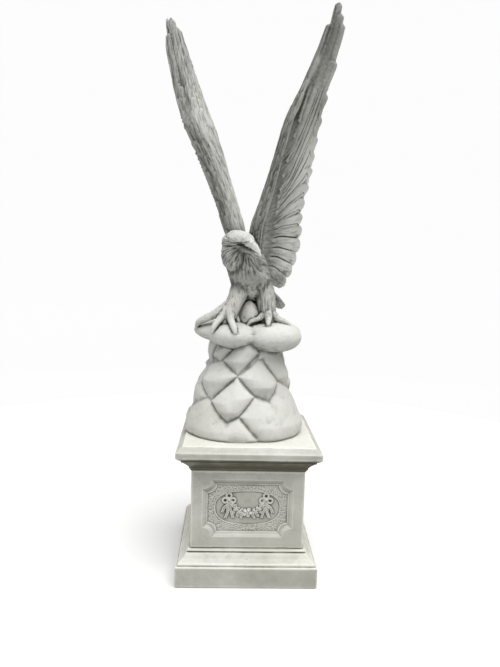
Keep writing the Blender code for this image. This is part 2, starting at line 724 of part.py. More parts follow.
def panel_cutter(name, turn):
    """The cutter for one sunk panel, on the face that the turn gives."""
    outer = notched_outline(PANEL_HALF_W, PANEL_HALF_H, PANEL_NOTCH)
    inner = notched_outline(PANEL_HALF_W - PANEL_BAND, PANEL_HALF_H - PANEL_BAND, PANEL_NOTCH)
    rings = []
    for outline, y in ((outer, -DIE_HALF - 0.02), (outer, -DIE_HALF), (inner, -DIE_HALF + PANEL_DEPTH)):
        rings.append([(x, y, PANEL_Z + z) for x, z in outline])
    cutter = loft(name, rings)
    apply_turn(cutter, turn, 0.0)
    return cutter


def oval_cutter():
    """The cutter for the smooth oval field of the front panel."""
    rings = []
    for y in (-DIE_HALF - 0.01, -DIE_HALF + PANEL_DEPTH + OVAL_DEPTH):
        turns = [2 * math.pi * k / 28 for k in range(28)]
        rings.append([(OVAL_HALF_W * math.cos(t), y, PANEL_Z + OVAL_HALF_H * math.sin(t)) for t in turns])
    return loft("oval", rings)


def garland():
    """Bows with loops and tails, and a garland with flowers, raised on the oval field."""
    field = -DIE_HALF + PANEL_DEPTH + OVAL_DEPTH
    parts = []

    def strip(points, half):
        # each piece lies a hair deeper than the last, so that none share a face
        depth = field + 0.00011 * len(parts)
        line = [np.array(p, float) for p in points]
        rings = []
        for k, middle in enumerate(line):
            ahead = line[min(k + 1, len(line) - 1)] - line[max(k - 1, 0)]
            ahead /= np.linalg.norm(ahead)
            ring = []
            for across, height in STRIP_SECTION:
                x, z = middle + half * across * np.array((ahead[1], -ahead[0]))
                ring.append((x, depth - half * height, z))
            rings.append(ring)
        parts.append(loft("strip", rings))

    def bead(x, z, radius, height):
        depth = field + 0.00011 * len(parts)
        turn = 0.3 + 0.5 * len(parts)
        axes = ((math.cos(turn), 0, math.sin(turn)), (0, 1, 0), (-math.sin(turn), 0, math.cos(turn)))
        parts.append(ellipsoid("bead", (x, depth, z), (radius, height, radius), 2, 2.0, axes))

    for side in (-1, 1):
        x0, z0 = side * BOW_X, BOW_Z
        bead(x0, z0 - 0.004, 0.0085, RELIEF)
        for degrees in (90, 205, -25):
            a = math.radians(degrees)
            ca, sa = math.cos(a), math.sin(a)
            loop = []
            for along, across in ((0.003, 0.002), (0.014, 0.009), (0.024, 0.005),
                                  (0.024, -0.005), (0.014, -0.009), (0.003, -0.002)):
                loop.append((x0 + side * (along * ca - across * sa), z0 + along * sa + across * ca))
            strip(loop, 0.0044)
        for reach, drop in ((0.016, 0.0), (-0.015, -0.002)):
            strip(((x0, z0 - 0.006), (x0 + side * reach * 0.4, z0 - 0.030),
                   (x0 + side * reach, TAIL_Z + drop)), 0.008)
        strip(((x0 - side * 0.011, z0 - 0.017), (side * 0.037, FLOWER_Z + 0.014),
               (side * 0.011, FLOWER_Z)), 0.0105)
        bead(side * 0.027, FLOWER_Z + 0.006, 0.012, RELIEF + 0.002)
    for k in range(5):
        a = math.radians(83 + 72 * k)
        bead(0.0095 * math.cos(a), FLOWER_Z + 0.0095 * math.sin(a), 0.008, RELIEF + 0.002)
    bead(0.0004, FLOWER_Z, 0.0055, RELIEF + 0.004)
    return parts


def build_plinth(material):
    """The base, the die with its four panels and the cap."""
    def between(low, high, part):
        return low + (high - low) * part

    slope = [(between(BASE_SLOPE_HALF, BASE_FILLET_HALF, out), between(BASE_FILLET_TOP, BASE_SLOPE_TOP, up))
             for out, up in BASE_CURVE]
    torus = [(BASE_SLOPE_HALF + out, between(BASE_SLOPE_TOP, BASE_TOP, up)) for out, up in BASE_TORUS]
    base = loft("plinth_base", square_rings((
        (BASE_HALF - EDGE, 0.0), (BASE_HALF, EDGE), (BASE_HALF, BASE_BLOCK_TOP - EDGE / 2),
        (BASE_HALF - EDGE / 2, BASE_BLOCK_TOP), (BASE_FILLET_HALF + EDGE / 4, BASE_BLOCK_TOP + EDGE / 4),
        (BASE_FILLET_HALF, BASE_FILLET_TOP), *slope, (BASE_SLOPE_HALF, BASE_SLOPE_TOP), *torus)), material)
    die = loft("plinth_die", square_rings((
        (DIE_HALF - EDGE, DIE_BOTTOM), (DIE_HALF, DIE_BOTTOM + EDGE), (DIE_HALF, DIE_TOP))), material)
    for k in range(4):
        combine(die, panel_cutter(f"panel_{k}", math.radians(90 * k)), "DIFFERENCE")
    combine(die, oval_cutter(), "DIFFERENCE")
    combine(die, unite(garland()), "UNION")
    die.data.materials.clear()
    die.data.materials.append(material)
    hollow = [(between(CAP_NECK_HALF, CAP_FACE_HALF, out), between(CAP_BOTTOM, CAP_FACE_BOTTOM, up))
              for out, up in CAP_CURVE]
    cap = loft("plinth_cap", square_rings((
        (CAP_NECK_HALF - EDGE / 4, CAP_BOTTOM), *hollow,
        (CAP_FACE_HALF - EDGE, CAP_FACE_BOTTOM - EDGE / 4), (CAP_FACE_HALF, CAP_FACE_BOTTOM + EDGE / 2),
        (CAP_FACE_HALF, CAP_FACE_TOP - EDGE / 4), (CAP_FACE_HALF - EDGE / 2, CAP_FACE_TOP + EDGE / 4),
        (CAP_INNER_HALF + EDGE / 4, CAP_TOP - EDGE / 4), (CAP_INNER_HALF, CAP_TOP))), material)
    return base, die, cap


def main():
    """Clear the file and build the four pieces."""
    for old in list(bpy.data.objects):
        bpy.data.objects.remove(old)
    plinth_stone = stone("plinth_stone", (0.56, 0.55, 0.50))
    eagle_stone = stone("eagle_stone", (0.60, 0.61, 0.58))
    pieces = [build_eagle(eagle_stone), *build_plinth(plinth_stone)]
    for piece in pieces:
        tidy(piece)


main()
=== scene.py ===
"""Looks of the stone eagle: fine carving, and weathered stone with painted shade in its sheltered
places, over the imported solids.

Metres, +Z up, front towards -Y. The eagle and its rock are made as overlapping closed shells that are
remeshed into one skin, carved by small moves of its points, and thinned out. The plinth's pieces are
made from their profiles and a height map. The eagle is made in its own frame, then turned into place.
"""
import math

import bmesh
import bpy
import numpy as np
from mathutils import Matrix, Vector
from mathutils.bvhtree import BVHTree


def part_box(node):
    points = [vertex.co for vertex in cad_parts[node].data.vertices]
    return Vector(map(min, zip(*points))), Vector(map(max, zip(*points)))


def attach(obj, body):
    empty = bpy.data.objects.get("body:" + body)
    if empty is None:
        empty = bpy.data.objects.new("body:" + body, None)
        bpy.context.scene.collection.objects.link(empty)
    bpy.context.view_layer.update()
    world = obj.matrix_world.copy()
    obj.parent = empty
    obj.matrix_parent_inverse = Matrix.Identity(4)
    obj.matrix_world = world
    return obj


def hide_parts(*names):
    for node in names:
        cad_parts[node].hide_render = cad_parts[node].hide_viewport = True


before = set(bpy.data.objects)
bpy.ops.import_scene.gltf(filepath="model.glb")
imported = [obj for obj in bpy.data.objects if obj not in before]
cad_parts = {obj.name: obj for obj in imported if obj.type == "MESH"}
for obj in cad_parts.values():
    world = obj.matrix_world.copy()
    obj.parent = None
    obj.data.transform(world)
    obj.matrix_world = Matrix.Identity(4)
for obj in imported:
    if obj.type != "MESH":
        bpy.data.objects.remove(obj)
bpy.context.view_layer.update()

# sizes, as in the part
BASE_HALF = 0.270
BASE_BLOCK_TOP = 0.0826
BASE_FILLET_HALF = 0.2615
BASE_FILLET_TOP = 0.0910
BASE_SLOPE_HALF = 0.2310
BASE_SLOPE_TOP = 0.1210
BASE_TOP = 0.1341
DIE_HALF = 0.217
DIE_BOTTOM = 0.1344
DIE_TOP = 0.4432
CAP_BOTTOM = 0.4435
CAP_NECK_HALF = 0.2205
CAP_FACE_HALF = 0.2731
CAP_FACE_BOTTOM = 0.5034
CAP_FACE_TOP = 0.5290
CAP_INNER_HALF = 0.2500
CAP_TOP = 0.5471
PANEL_Z = 0.2930
PANEL_HALF_W = 0.1720
PANEL_HALF_H = 0.1120
PANEL_BAND = 0.0180
PANEL_NOTCH = 0.0360
PANEL_DEPTH = 0.0090
PANEL_STEP = 0.0012
PANEL_SLOPE = 0.0043
PANEL_RIM = 0.0055
STIPPLE_SIZE = 0.0033
STIPPLE_HEIGHT = 0.0019
OVAL_HALF_W = 0.1240
OVAL_HALF_H = 0.0660
OVAL_DEPTH = 0.0030
OVAL_RIM = 0.0016
BOW_X = 0.0713
BOW_Z = 0.3265
# each bow's loops, as (degrees, distance), and tails, as (outwards, up) from the bow's middle
BOW_LOOPS = ((92, 0.0145), (195, 0.0155), (-15, 0.0155))
BOW_TAILS = (((0, -0.004), (0.002, -0.030), (-0.009, -0.048), (-0.016, -0.074)),
             ((0, -0.004), (0.006, -0.026), (0.004, -0.052), (0.013, -0.074)),
             ((0.004, -0.020), (0.018, -0.034), (0.026, -0.052)))
LOOP_RADIUS = 0.0095
LOOP_HEIGHT = 0.0046
RIBBON_HALF = 0.0066
RIBBON_HEIGHT = 0.0042
FLOWER_Z = 0.2740
FLOWERS = 4
SWAG_SCALE = 1.3
EAGLE_X = -0.020
EAGLE_TURN = math.radians(-15.0)
ROCK_BOTTOM = CAP_TOP + 0.0003
ROCK_TOP = 0.955
EYE = (0.018, -0.150, 1.296)
HEAD_MIDDLE = (-0.001, -0.129, 1.310)
HEAD_AHEAD = (0.90, -0.40, -0.17)
# how fine the meshes are: the skin's voxels, the steps of the mouldings and of the die, and the most
# triangles of a piece
VOXEL = 0.0026
MOULDING_GAP = 0.0018
DIE_GAP = 0.00155
MOST_TRIANGLES = 190000
# rays from each point that test how open it is, and how far they reach
EAGLE_RAYS = 14
PLINTH_RAYS = 8
RAY_REACH = 0.16
# each stone's pale, grey and dark colour, and how strongly painted shade darkens its sheltered places
EAGLE_STONE = ((0.80, 0.80, 0.77), (0.172, 0.179, 0.156), (0.060, 0.065, 0.050), 0.46)
PLINTH_STONE = ((0.88, 0.875, 0.82), (0.235, 0.228, 0.190), (0.085, 0.080, 0.056), 0.62)
ROUGHNESS = 0.86
SHEEN = 0.28
GRAIN = 0.5
BUMP_STRENGTH = 0.55
BUMP_HEIGHT = 0.0012
# the camera: place, angles in radians, focal length and picture height in pixels, sensor in mm
CAMERA_PLACE = (-0.0846, -2.2213, 1.2111)
CAMERA_TURN, CAMERA_TIP, CAMERA_ROLL = -0.0373, -0.1199, 0.0287
FOCAL_PIXELS = 549.06
PICTURE_PIXELS = 667
SENSOR = 36
# the room
FLOOR_RADII = (1.0, 2.0, 3.0)
FLOOR_SIDES = 96
FLOOR_COLOUR = (0.92, 0.92, 0.915, 1)
BACKDROP_RADIUS = 14.0
BACKDROP_GLOW = 0.97
SKY_LOW = 0.30
SKY_STRENGTH = 0.62
SUN_FROM = (0.16, -0.34, 1.0)
SUN_ENERGY = 2.75
SUN_ANGLE = math.radians(50)

WING_SECTIONS = np.array((
    (1.10, 0.030, 0.060, 0.010, 0.080, 0.101, 0.200),
    (1.20, 0.045, 0.015, 0.005, 0.030, 0.140, 0.262),
    (1.30, 0.055, -0.015, 0.000, 0.005, 0.165, 0.296),
    (1.37, 0.066, -0.023, 0.009, -0.012, 0.175, 0.288),
    (1.45, 0.093, -0.032, 0.035, -0.010, 0.189, 0.228),
    (1.55, 0.125, -0.062, 0.068, -0.006, 0.218, 0.158),
    (1.65, 0.158, -0.098, 0.103, -0.020, 0.247, 0.045),
    (1.75, 0.187, -0.110, 0.135, -0.040, 0.271, -0.010),
    (1.85, 0.216, -0.088, 0.178, -0.024, 0.294, -0.034),
    (1.95, 0.248, -0.062, 0.219, -0.018, 0.319, -0.028),
    (2.05, 0.277, -0.050, 0.259, -0.014, 0.339, -0.036),
    (2.17, 0.316, -0.060, 0.302, -0.030, 0.353, -0.048),
))
LEFT_WING_SECTIONS = np.array((
    (1.10, 0.030, 0.060, 0.010, 0.080, 0.085, 0.205),
    (1.20, 0.050, 0.015, 0.003, 0.030, 0.105, 0.268),
    (1.30, 0.076, -0.010, 0.000, 0.005, 0.125, 0.296),
    (1.37, 0.105, -0.013, 0.014, -0.006, 0.160, 0.290),
    (1.45, 0.130, -0.021, 0.040, -0.003, 0.166, 0.227),
    (1.55, 0.166, -0.052, 0.076, 0.002, 0.198, 0.179),
    (1.65, 0.205, -0.080, 0.104, -0.010, 0.219, 0.072),
    (1.75, 0.250, -0.092, 0.137, -0.030, 0.254, 0.025),
    (1.85, 0.284, -0.075, 0.183, -0.015, 0.282, 0.014),
    (1.95, 0.309, -0.052, 0.224, -0.009, 0.305, 0.022),
    (2.05, 0.332, -0.042, 0.266, -0.008, 0.345, 0.016),
    (2.17, 0.345, -0.042, 0.310, -0.022, 0.352, -0.006),
))
# long feathers of the left wing's tip: root, place across the arm, length, half width
TIP_BLADES = ((1.80, 0.46, 0.362, 0.0175), (1.80, 0.86, 0.330, 0.0150), (1.80, 0.10, 0.302, 0.0160))
# how far the arm swells between its ridge and its bulge, as a part of their distance
RIGHT_SWELL = 0.15
LEFT_SWELL = 0.24
# cross sections of feathers and beak: places across and over the middle line
FLIGHT_RING = ((1.0, 0.0), (0.94, 0.72), (0.50, 0.96), (0.09, 0.94), (0.0, 1.16), (-0.09, 0.94),
               (-0.50, 0.96), (-0.94, 0.72), (-1.0, 0.0), (-0.8, -0.8), (0.0, -1.0), (0.8, -0.8))
ARM_RING = ((1, 0.0), (0.8, 0.75), (0.35, 0.9), (0.0, 1.25), (-0.35, 0.9), (-0.8, 0.75), (-1, 0.0),
            (-0.6, -1.6), (0.6, -1.6))
TAIL_RING = ((1, 0), (0.7, 0.8), (0.08, 0.9), (0, 1.15), (-0.08, 0.9), (-0.7, 0.8), (-1, 0),
             (-0.7, -0.8), (-0.08, -0.9), (0, -1.15), (0.08, -0.9), (0.7, -0.8))
BEAK_RING = ((1, 0.0), (0.8, 0.55), (0.4, 0.9), (0, 1), (-0.4, 0.9), (-0.8, 0.55), (-1, 0.0),
             (-1, -0.6), (-0.6, -0.9), (0, -1), (0.6, -0.9), (1, -0.6))
# last coverts below the hand's feathers: root, place across the arm, length, half width
LAST_COVERTS = ((1.815, 0.20, 0.080, 0.0120), (1.765, 0.50, 0.090, 0.0130),
                (1.725, 0.72, 0.090, 0.0130), (1.770, 0.10, 0.080, 0.0120))
# tips of the flight feathers on the trailing edge, and how far below the tip each one starts
FEATHERS = (
    (2.166, 0.40), (2.130, 0.38), (2.098, 0.40), (1.976, 0.36), (1.864, 0.30), (1.784, 0.27),
    (1.717, 0.23), (1.663, 0.20), (1.612, 0.165), (1.557, 0.13), (1.495, 0.10), (1.430, 0.065),
    (1.372, 0.030), (1.311, 0.000), (1.249, -0.025), (1.195, -0.045), (1.138, -0.065),
)
# where the tips of the three longest lie between the ridge and the trailing edge
TIP_PLACES = (0.34, 0.66, 0.86)
TORSO = (
    (1.078, 0.028, 0.040, 0.048, 0.056), (1.096, 0.024, 0.032, 0.072, 0.082),
    (1.125, 0.020, 0.022, 0.082, 0.098), (1.160, 0.015, 0.002, 0.083, 0.106),
    (1.200, 0.006, -0.012, 0.083, 0.110), (1.240, -0.004, -0.028, 0.082, 0.108),
    (1.280, -0.012, -0.042, 0.072, 0.098), (1.318, -0.020, -0.050, 0.054, 0.076),
    (1.345, -0.020, -0.046, 0.030, 0.046),
)
# rings of the mound where its boulders meet: height, x, y, half width, half depth
MOUND = (
    (0.540, -0.024, 0.000, 0.230, 0.200), (0.590, -0.023, 0.000, 0.222, 0.190),
    (0.650, -0.024, 0.002, 0.204, 0.174), (0.720, -0.024, 0.004, 0.184, 0.156),
    (0.790, -0.018, 0.004, 0.163, 0.135), (0.835, -0.016, 0.004, 0.148, 0.122),
    (0.880, -0.014, 0.004, 0.138, 0.114), (0.920, -0.012, 0.004, 0.140, 0.118),
    (0.955, -0.010, 0.006, 0.150, 0.130),
)
# boulders of the front: swell, height of the edge between upper and lower facet, and the outline
# as (turn about the mound, height), the turn 0 at the front and in radians
BOULDERS = (
    (0.027, 0.846, ((-0.41, 0.889), (-0.12, 0.935), (0.06, 0.940), (0.33, 0.880), (-0.20, 0.796),
                    (-0.69, 0.846))),
    (0.034, 0.770, ((-0.69, 0.844), (-0.20, 0.792), (-0.69, 0.698), (-0.82, 0.702), (-1.20, 0.752),
                    (-1.13, 0.826))),
    (0.034, 0.752, ((0.31, 0.851), (0.43, 0.851), (0.54, 0.828), (0.82, 0.769), (0.70, 0.725),
                    (0.53, 0.697), (0.20, 0.723), (-0.19, 0.790))),
    (0.036, 0.660, ((-0.195, 0.788), (0.215, 0.715), (-0.08, 0.644), (-0.29, 0.619), (-0.41, 0.635),
                    (-0.705, 0.692))),
    (0.024, 0.780, ((0.32, 0.880), (0.50, 0.905), (0.93, 0.900), (1.40, 0.850), (1.62, 0.800),
                    (1.30, 0.735), (0.82, 0.771), (0.54, 0.830), (0.43, 0.853), (0.31, 0.853))),
    (0.026, 0.600, ((0.215, 0.713), (0.53, 0.695), (0.70, 0.723), (0.82, 0.767), (1.30, 0.733),
                    (1.60, 0.700), (1.75, 0.560), (1.60, 0.520), (0.75, 0.500), (0.36, 0.530),
                    (-0.08, 0.642))),
    (0.016, 0.580, ((-0.705, 0.690), (-0.41, 0.633), (-0.29, 0.617), (-0.08, 0.640), (0.34, 0.530),
                    (-0.10, 0.490), (-0.90, 0.500), (-1.60, 0.520), (-1.42, 0.652), (-0.83, 0.697))),
    (0.014, 0.720, ((-1.20, 0.750), (-0.84, 0.700), (-1.42, 0.654), (-1.75, 0.650), (-1.80, 0.780),
                    (-1.40, 0.825), (-1.13, 0.824))),
    (0.024, 0.870, ((-1.15, 0.830), (-1.17, 0.858), (-1.03, 0.905), (-1.35, 0.945), (-1.80, 0.920),
                    (-1.72, 0.845), (-1.40, 0.828))),
    (0.022, 0.865, ((-1.17, 0.856), (-0.785, 0.838), (-0.69, 0.848), (-0.45, 0.886), (-0.60, 0.925),
                    (-1.03, 0.903))),
)
BOULDER_ROUND = 0.009
BACK_WIDE = 0.150
BACK_TALL = 0.150
# stones of the slab that the feet stand on: middle, half sizes, and how boxy each is
SLAB = (
    ((-0.070, -0.084, 0.946), (0.090, 0.080, 0.052), 2.0),
    ((0.088, -0.062, 0.938), (0.112, 0.104, 0.060), 2.0),
    ((-0.142, 0.004, 0.956), (0.085, 0.090, 0.036), 2.0),
    ((0.128, 0.050, 0.944), (0.078, 0.086, 0.042), 2.2),
    ((-0.010, 0.020, 0.954), (0.176, 0.146, 0.044), 2.8),
)
SLAB_MIDDLE = (0.0, -0.020, 0.955)
SLAB_BLEND = 9
# the beak's middle line with its half width and half height, the jaw, legs, egg and toes
BEAK = (
    (0.00, 0.026, -0.142, 1.306, 0.0165, 0.0165), (0.30, 0.047, -0.156, 1.299, 0.0142, 0.0155),
    (0.62, 0.069, -0.168, 1.283, 0.0104, 0.0125), (0.85, 0.085, -0.177, 1.265, 0.0064, 0.0085),
    (1.00, 0.092, -0.182, 1.250, 0.0028, 0.0038),
)
JAW = ((0.010, -0.138, 1.278, 0.012), (0.036, -0.151, 1.271, 0.0085),
       (0.057, -0.164, 1.262, 0.0060), (0.070, -0.171, 1.256, 0.003))
LEFT_LEG = ((-0.010, -0.024, 1.165, 0.046), (-0.016, -0.046, 1.125, 0.040),
            (-0.028, -0.072, 1.080, 0.034), (-0.040, -0.088, 1.045, 0.033),
            (-0.052, -0.096, 1.010, 0.034), (-0.054, -0.098, 0.970, 0.036))
RIGHT_LEG = ((0.046, 0.004, 1.165, 0.044), (0.069, -0.008, 1.125, 0.043),
             (0.086, -0.020, 1.080, 0.037), (0.092, -0.026, 1.045, 0.035),
             (0.094, -0.030, 1.010, 0.034), (0.095, -0.030, 0.970, 0.036))
EGG = ((0.975, 0.026, -0.050, 0.034, 0.034), (0.990, 0.026, -0.050, 0.040, 0.040),
       (1.010, 0.026, -0.048, 0.0395, 0.040), (1.035, 0.025, -0.046, 0.034, 0.036),
       (1.058, 0.024, -0.043, 0.025, 0.027), (1.073, 0.024, -0.040, 0.014, 0.015),
       (1.080, 0.024, -0.039, 0.004, 0.005))
TOES = (
    ((-0.034, -0.082, 1.070, 0.026), (-0.076, -0.100, 1.040, 0.0215), (-0.112, -0.110, 1.019, 0.0165),
     (-0.146, -0.108, 1.003, 0.0145), (-0.168, -0.101, 0.989, 0.0125), (-0.180, -0.095, 0.970, 0.006)),
    ((-0.056, -0.098, 1.050, 0.021), (-0.068, -0.122, 1.018, 0.0150), (-0.079, -0.144, 0.998, 0.0120),
     (-0.087, -0.158, 0.982, 0.0110), (-0.094, -0.168, 0.956, 0.005)),
    ((-0.042, -0.098, 1.050, 0.021), (-0.032, -0.124, 1.016, 0.0150), (-0.019, -0.146, 0.998, 0.0130),
     (-0.007, -0.161, 0.981, 0.0125), (0.002, -0.170, 0.960, 0.006)),
    ((-0.026, -0.084, 1.024, 0.014), (-0.014, -0.086, 1.008, 0.0100), (-0.006, -0.092, 0.992, 0.005)),
    ((0.084, -0.044, 1.030, 0.018), (0.070, -0.070, 1.014, 0.0105), (0.054, -0.084, 1.008, 0.0085),
     (0.036, -0.094, 0.996, 0.0070), (0.030, -0.098, 0.984, 0.003)),
    ((0.100, -0.046, 1.034, 0.020), (0.107, -0.070, 1.012, 0.0125), (0.110, -0.088, 1.002, 0.0105),
     (0.112, -0.100, 0.990, 0.006)),
    ((0.112, -0.032, 1.032, 0.021), (0.138, -0.036, 1.012, 0.0130), (0.164, -0.030, 1.002, 0.0115),
     (0.186, -0.020, 0.990, 0.006)),
    ((0.108, -0.004, 1.020, 0.016), (0.118, 0.018, 1.004, 0.0120), (0.126, 0.036, 0.986, 0.005)),
)
# fill between the legs, behind the egg
BETWEEN_LEGS = ((0.022, 0.026, 1.040), (0.080, 0.034, 0.110))


def lattice(points, seed):
    """Smooth noise between -1 and 1 at points (n, 3), from a hashed lattice."""
    cell = np.floor(points).astype(np.int64)
    part = points - cell
    part = part * part * (3 - 2 * part)
    total = np.zeros(len(points))
    for dx in (0, 1):
        for dy in (0, 1):
            for dz in (0, 1):
                h = ((cell[:, 0] + dx) * 73856093 ^ (cell[:, 1] + dy) * 19349663
                     ^ (cell[:, 2] + dz) * 83492791 ^ seed * 2654435761) & 0xFFFFFFFF
                h = (h ^ (h >> 15)) * 2246822519 & 0xFFFFFFFF
                h = (h ^ (h >> 13)) * 3266489917 & 0xFFFFFFFF
                value = ((h ^ (h >> 16)) & 0xFFFF) / 32767.5 - 1.0
                wx = part[:, 0] if dx else 1 - part[:, 0]
                wy = part[:, 1] if dy else 1 - part[:, 1]
                wz = part[:, 2] if dz else 1 - part[:, 2]
                total += value * wx * wy * wz
    return total


def noise(points, size, seed, octaves=2):
    """Layered noise whose largest lumps are about size metres, or (x, y, z) sizes."""
    scaled = np.asarray(points, float) / np.asarray(size, float)
    return sum(lattice(scaled * 2 ** k + 17.3 * k, seed + k) / 2 ** k for k in range(octaves))


def flat_noise(u, v, wide, tall, seed):
    """Layered noise over a flat (u, v), its lumps wide and tall."""
    return noise(np.column_stack((u, v, np.zeros(len(u)))), (wide, tall, 1.0), seed)


def step(low, high, value):
    """A smooth step from 0 at low to 1 at high."""
    t = np.clip((value - low) / (high - low), 0.0, 1.0)
    return t * t * (3 - 2 * t)


def unit(vectors):
    """One vector, or an array of them, each scaled to length 1."""
    if vectors.ndim == 1:
        return vectors / np.linalg.norm(vectors)
    return vectors / np.linalg.norm(vectors, axis=1)[:, None]


def distances(line):
    """How far along a line each of its points lies."""
    return np.concatenate(([0.0], np.cumsum(np.linalg.norm(np.diff(line, axis=0), axis=1))))


def stations(tip, straight_count, tip_count):
    """Places from 0 to 1 along a feather, closer together over its rounded tip."""
    straight = np.linspace(0, 1 - tip, straight_count)
    return np.concatenate((straight, 1 - tip * np.cos(np.linspace(0, np.pi / 2, tip_count))[1:]))


def blended(a, b, share):
    """Points between a (share 0) and b (share 1)."""
    return a * (1 - share[:, None]) + b * share[:, None]


def curve(z, table):
    """A smooth curve through a table: first column the heights, the others the values."""
    z = np.atleast_1d(np.asarray(z, float))
    heights, values = table[:, 0], table[:, 1:]
    slopes = np.gradient(values, heights, axis=0)
    k = np.clip(np.searchsorted(heights, z) - 1, 0, len(heights) - 2)
    span = (heights[k + 1] - heights[k])[:, None]
    t = np.clip((z[:, None] - heights[k][:, None]) / span, 0.0, 1.0)
    return ((2 * t ** 3 - 3 * t ** 2 + 1) * values[k] + (t ** 3 - 2 * t ** 2 + t) * span * slopes[k]
            + (3 * t ** 2 - 2 * t ** 3) * values[k + 1] + (t ** 3 - t ** 2) * span * slopes[k + 1])


def loft(rings):
    """A closed shell through rings that have the same number of points."""
    count = len(rings[0])
    points = np.array([p for ring in rings for p in ring], float)
    faces = []
    for row in range(len(rings) - 1):
        for k in range(count):
            a, b = row * count + k, row * count + (k + 1) % count
            faces.append((a, b, b + count, a + count))
    faces.append(tuple(range(count))[::-1])
    faces.append(tuple(range((len(rings) - 1) * count, len(rings) * count)))
    return points, faces


def block(place, steps, power):
    """A rounded block: place turns points of the unit block, as an array, into points of space."""
    raws, faces, index = [], [], {}
    for axis in range(3):
        for side in (-steps, steps):
            for i in range(-steps, steps, 2):
                for j in range(-steps, steps, 2):
                    square = []
                    for di, dj in ((0, 0), (2, 0), (2, 2), (0, 2)):
                        key = [i + di, j + dj]
                        key.insert(axis, side)
                        key = tuple(key)
                        if key not in index:
                            index[key] = len(raws)
                            raws.append(key)
                        square.append(index[key])
                    faces.append(square)
    raw = np.sin(np.array(raws, float) / steps * math.pi / 4) / math.sin(math.pi / 4)
    size = np.sum(np.abs(raw) ** power, axis=1) ** (1 / power)
    return place(raw / size[:, None]), faces


def ellipsoid(centre, radii, power=2.0, axes=None, steps=10):
    """An ellipsoid or rounded block with its own axes."""
    axes = np.eye(3) if axes is None else np.array(axes, float)
    return block(lambda u: np.array(centre) + (u * np.array(radii)) @ axes, steps, power)


def tube(path, sides=12):
    """A round tapering shell along points that have a radius each, smoothed between them."""
    path = np.array(path, float)
    at = distances(path[:, :3])
    fine = curve(np.linspace(0, at[-1], max(6, int(at[-1] / 0.006))), np.column_stack((at, path)))
    spine, radii = fine[:, :3], fine[:, 3]
    rise = abs(spine[-1][2] - spine[0][2]) / np.linalg.norm(spine[-1] - spine[0])
    reference = (0.96, 0.25, 0.10) if rise > 0.7 else (0.12, 0.23, 0.97)
    ahead = unit(np.gradient(spine, axis=0))
    side = unit(np.cross(ahead, reference))
    over = np.cross(side, ahead)
    turns = 2 * np.pi * (np.arange(sides) + 0.5) / sides
    return loft([spine[k] + radii[k] * (np.outer(np.cos(turns), side[k])
                                        + np.outer(np.sin(turns), over[k]))
                 for k in range(len(spine))])


def mirror(shells):
    """The same shells on the other side of x = 0."""
    return [(points * (-1, 1, 1), [tuple(f)[::-1] for f in faces]) for points, faces in shells]


def wing_lines(z, table):
    """Front ridge, inner bulge and trailing edge of the wing, (n, 2) each, and the chord's frame."""
    found = curve(z, table)
    ridge, bulge, trail = found[:, 0:2], found[:, 2:4], found[:, 4:6]
    chord = trail - ridge
    length = np.linalg.norm(chord, axis=1)
    inward = np.column_stack((-chord[:, 1], chord[:, 0])) / length[:, None]
    return ridge, bulge, trail, chord, length, inward


def hollow_of(c, length):
    """How far the web lies inwards of the straight chord."""
    return np.minimum(0.030, 0.16 * length) * np.sin(np.pi * np.clip(c, 0.0, 1.0) ** 0.7)


def wing_surface(c, z, table):
    """Middle of the wing's web, (n, 3): c runs from the front ridge to the trailing edge."""
    c, z = np.broadcast_arrays(*(np.atleast_1d(np.asarray(v, float)) for v in (c, z)))
    ridge, _, _, chord, length, inward = wing_lines(z, table)
    flat = ridge + c[:, None] * chord + inward * hollow_of(c, length)[:, None]
    return np.column_stack((flat, z))


def wing_normal(c, z, table):
    """Direction out of the wing's underside, which faces outwards and forwards."""
    d = 0.01
    along = wing_surface(c + d, z, table) - wing_surface(c - d, z, table)
    up = wing_surface(c, z + d, table) - wing_surface(c, z - d, table)
    normal = unit(np.cross(along, up))
    ridge, bulge = wing_lines(z, table)[:2]
    sign = np.sign(np.sum(normal[:, :2] * (ridge - bulge), axis=1))
    return normal * sign[:, None]


def blade_width(s, length, half, root=0.6):
    """Width of a feather along its length, with a round tip."""
    tip = np.minimum(0.5, 0.9 * half / length)
    grow = root + (1 - root) * step(0.0, 0.4, s)
    end = np.clip((s - 1 + tip) / tip, 0.0, 0.992)
    return grow * np.sqrt(1 - end ** 2)


def feather(table, start, end, half, thick, lift, tilt, bend):
    """A blade on the wing's web, from start to end as (c, height), with a shaft down its middle."""
    s = stations(0.14, 22, 9)
    c = start[0] + (end[0] - start[0]) * s ** bend
    z = start[1] + (end[1] - start[1]) * s
    middle, normal = wing_surface(c, z, table), wing_normal(c, z, table)
    length = np.sum(np.linalg.norm(np.diff(middle, axis=0), axis=1))
    side = np.cross(normal, unit(np.gradient(middle, axis=0)))
    rings = []
    for k, w in enumerate(half * blade_width(s, length, half)):
        body = thick * (0.45 + 0.55 * min(1.0, w / half))
        rings.append([middle[k] + side[k] * (across * w)
                      + normal[k] * (lift + tilt * across * w + body * over)
                      for across, over in FLIGHT_RING])
    return loft(rings)


def arm_frame(z, table):
    """Ridge, direction from bulge to ridge, span and outward direction of the arm at heights."""
    ridge, bulge = wing_lines(z, table)[:2]
    lead = ridge - bulge
    span = np.linalg.norm(lead, axis=1)
    side = lead / span[:, None]
    out = np.column_stack((side[:, 1], -side[:, 0]))
    out *= np.where(out[:, 1:2] < 0, 1.0, -1.0)
    return ridge, side, span, out


def arm_arch(a, span, swell):
    """How far the arm swells between its ridge (0) and its bulge (1)."""
    return swell * span * np.sin(np.pi * np.clip(a, 0.0, 1.0)) ** 0.8


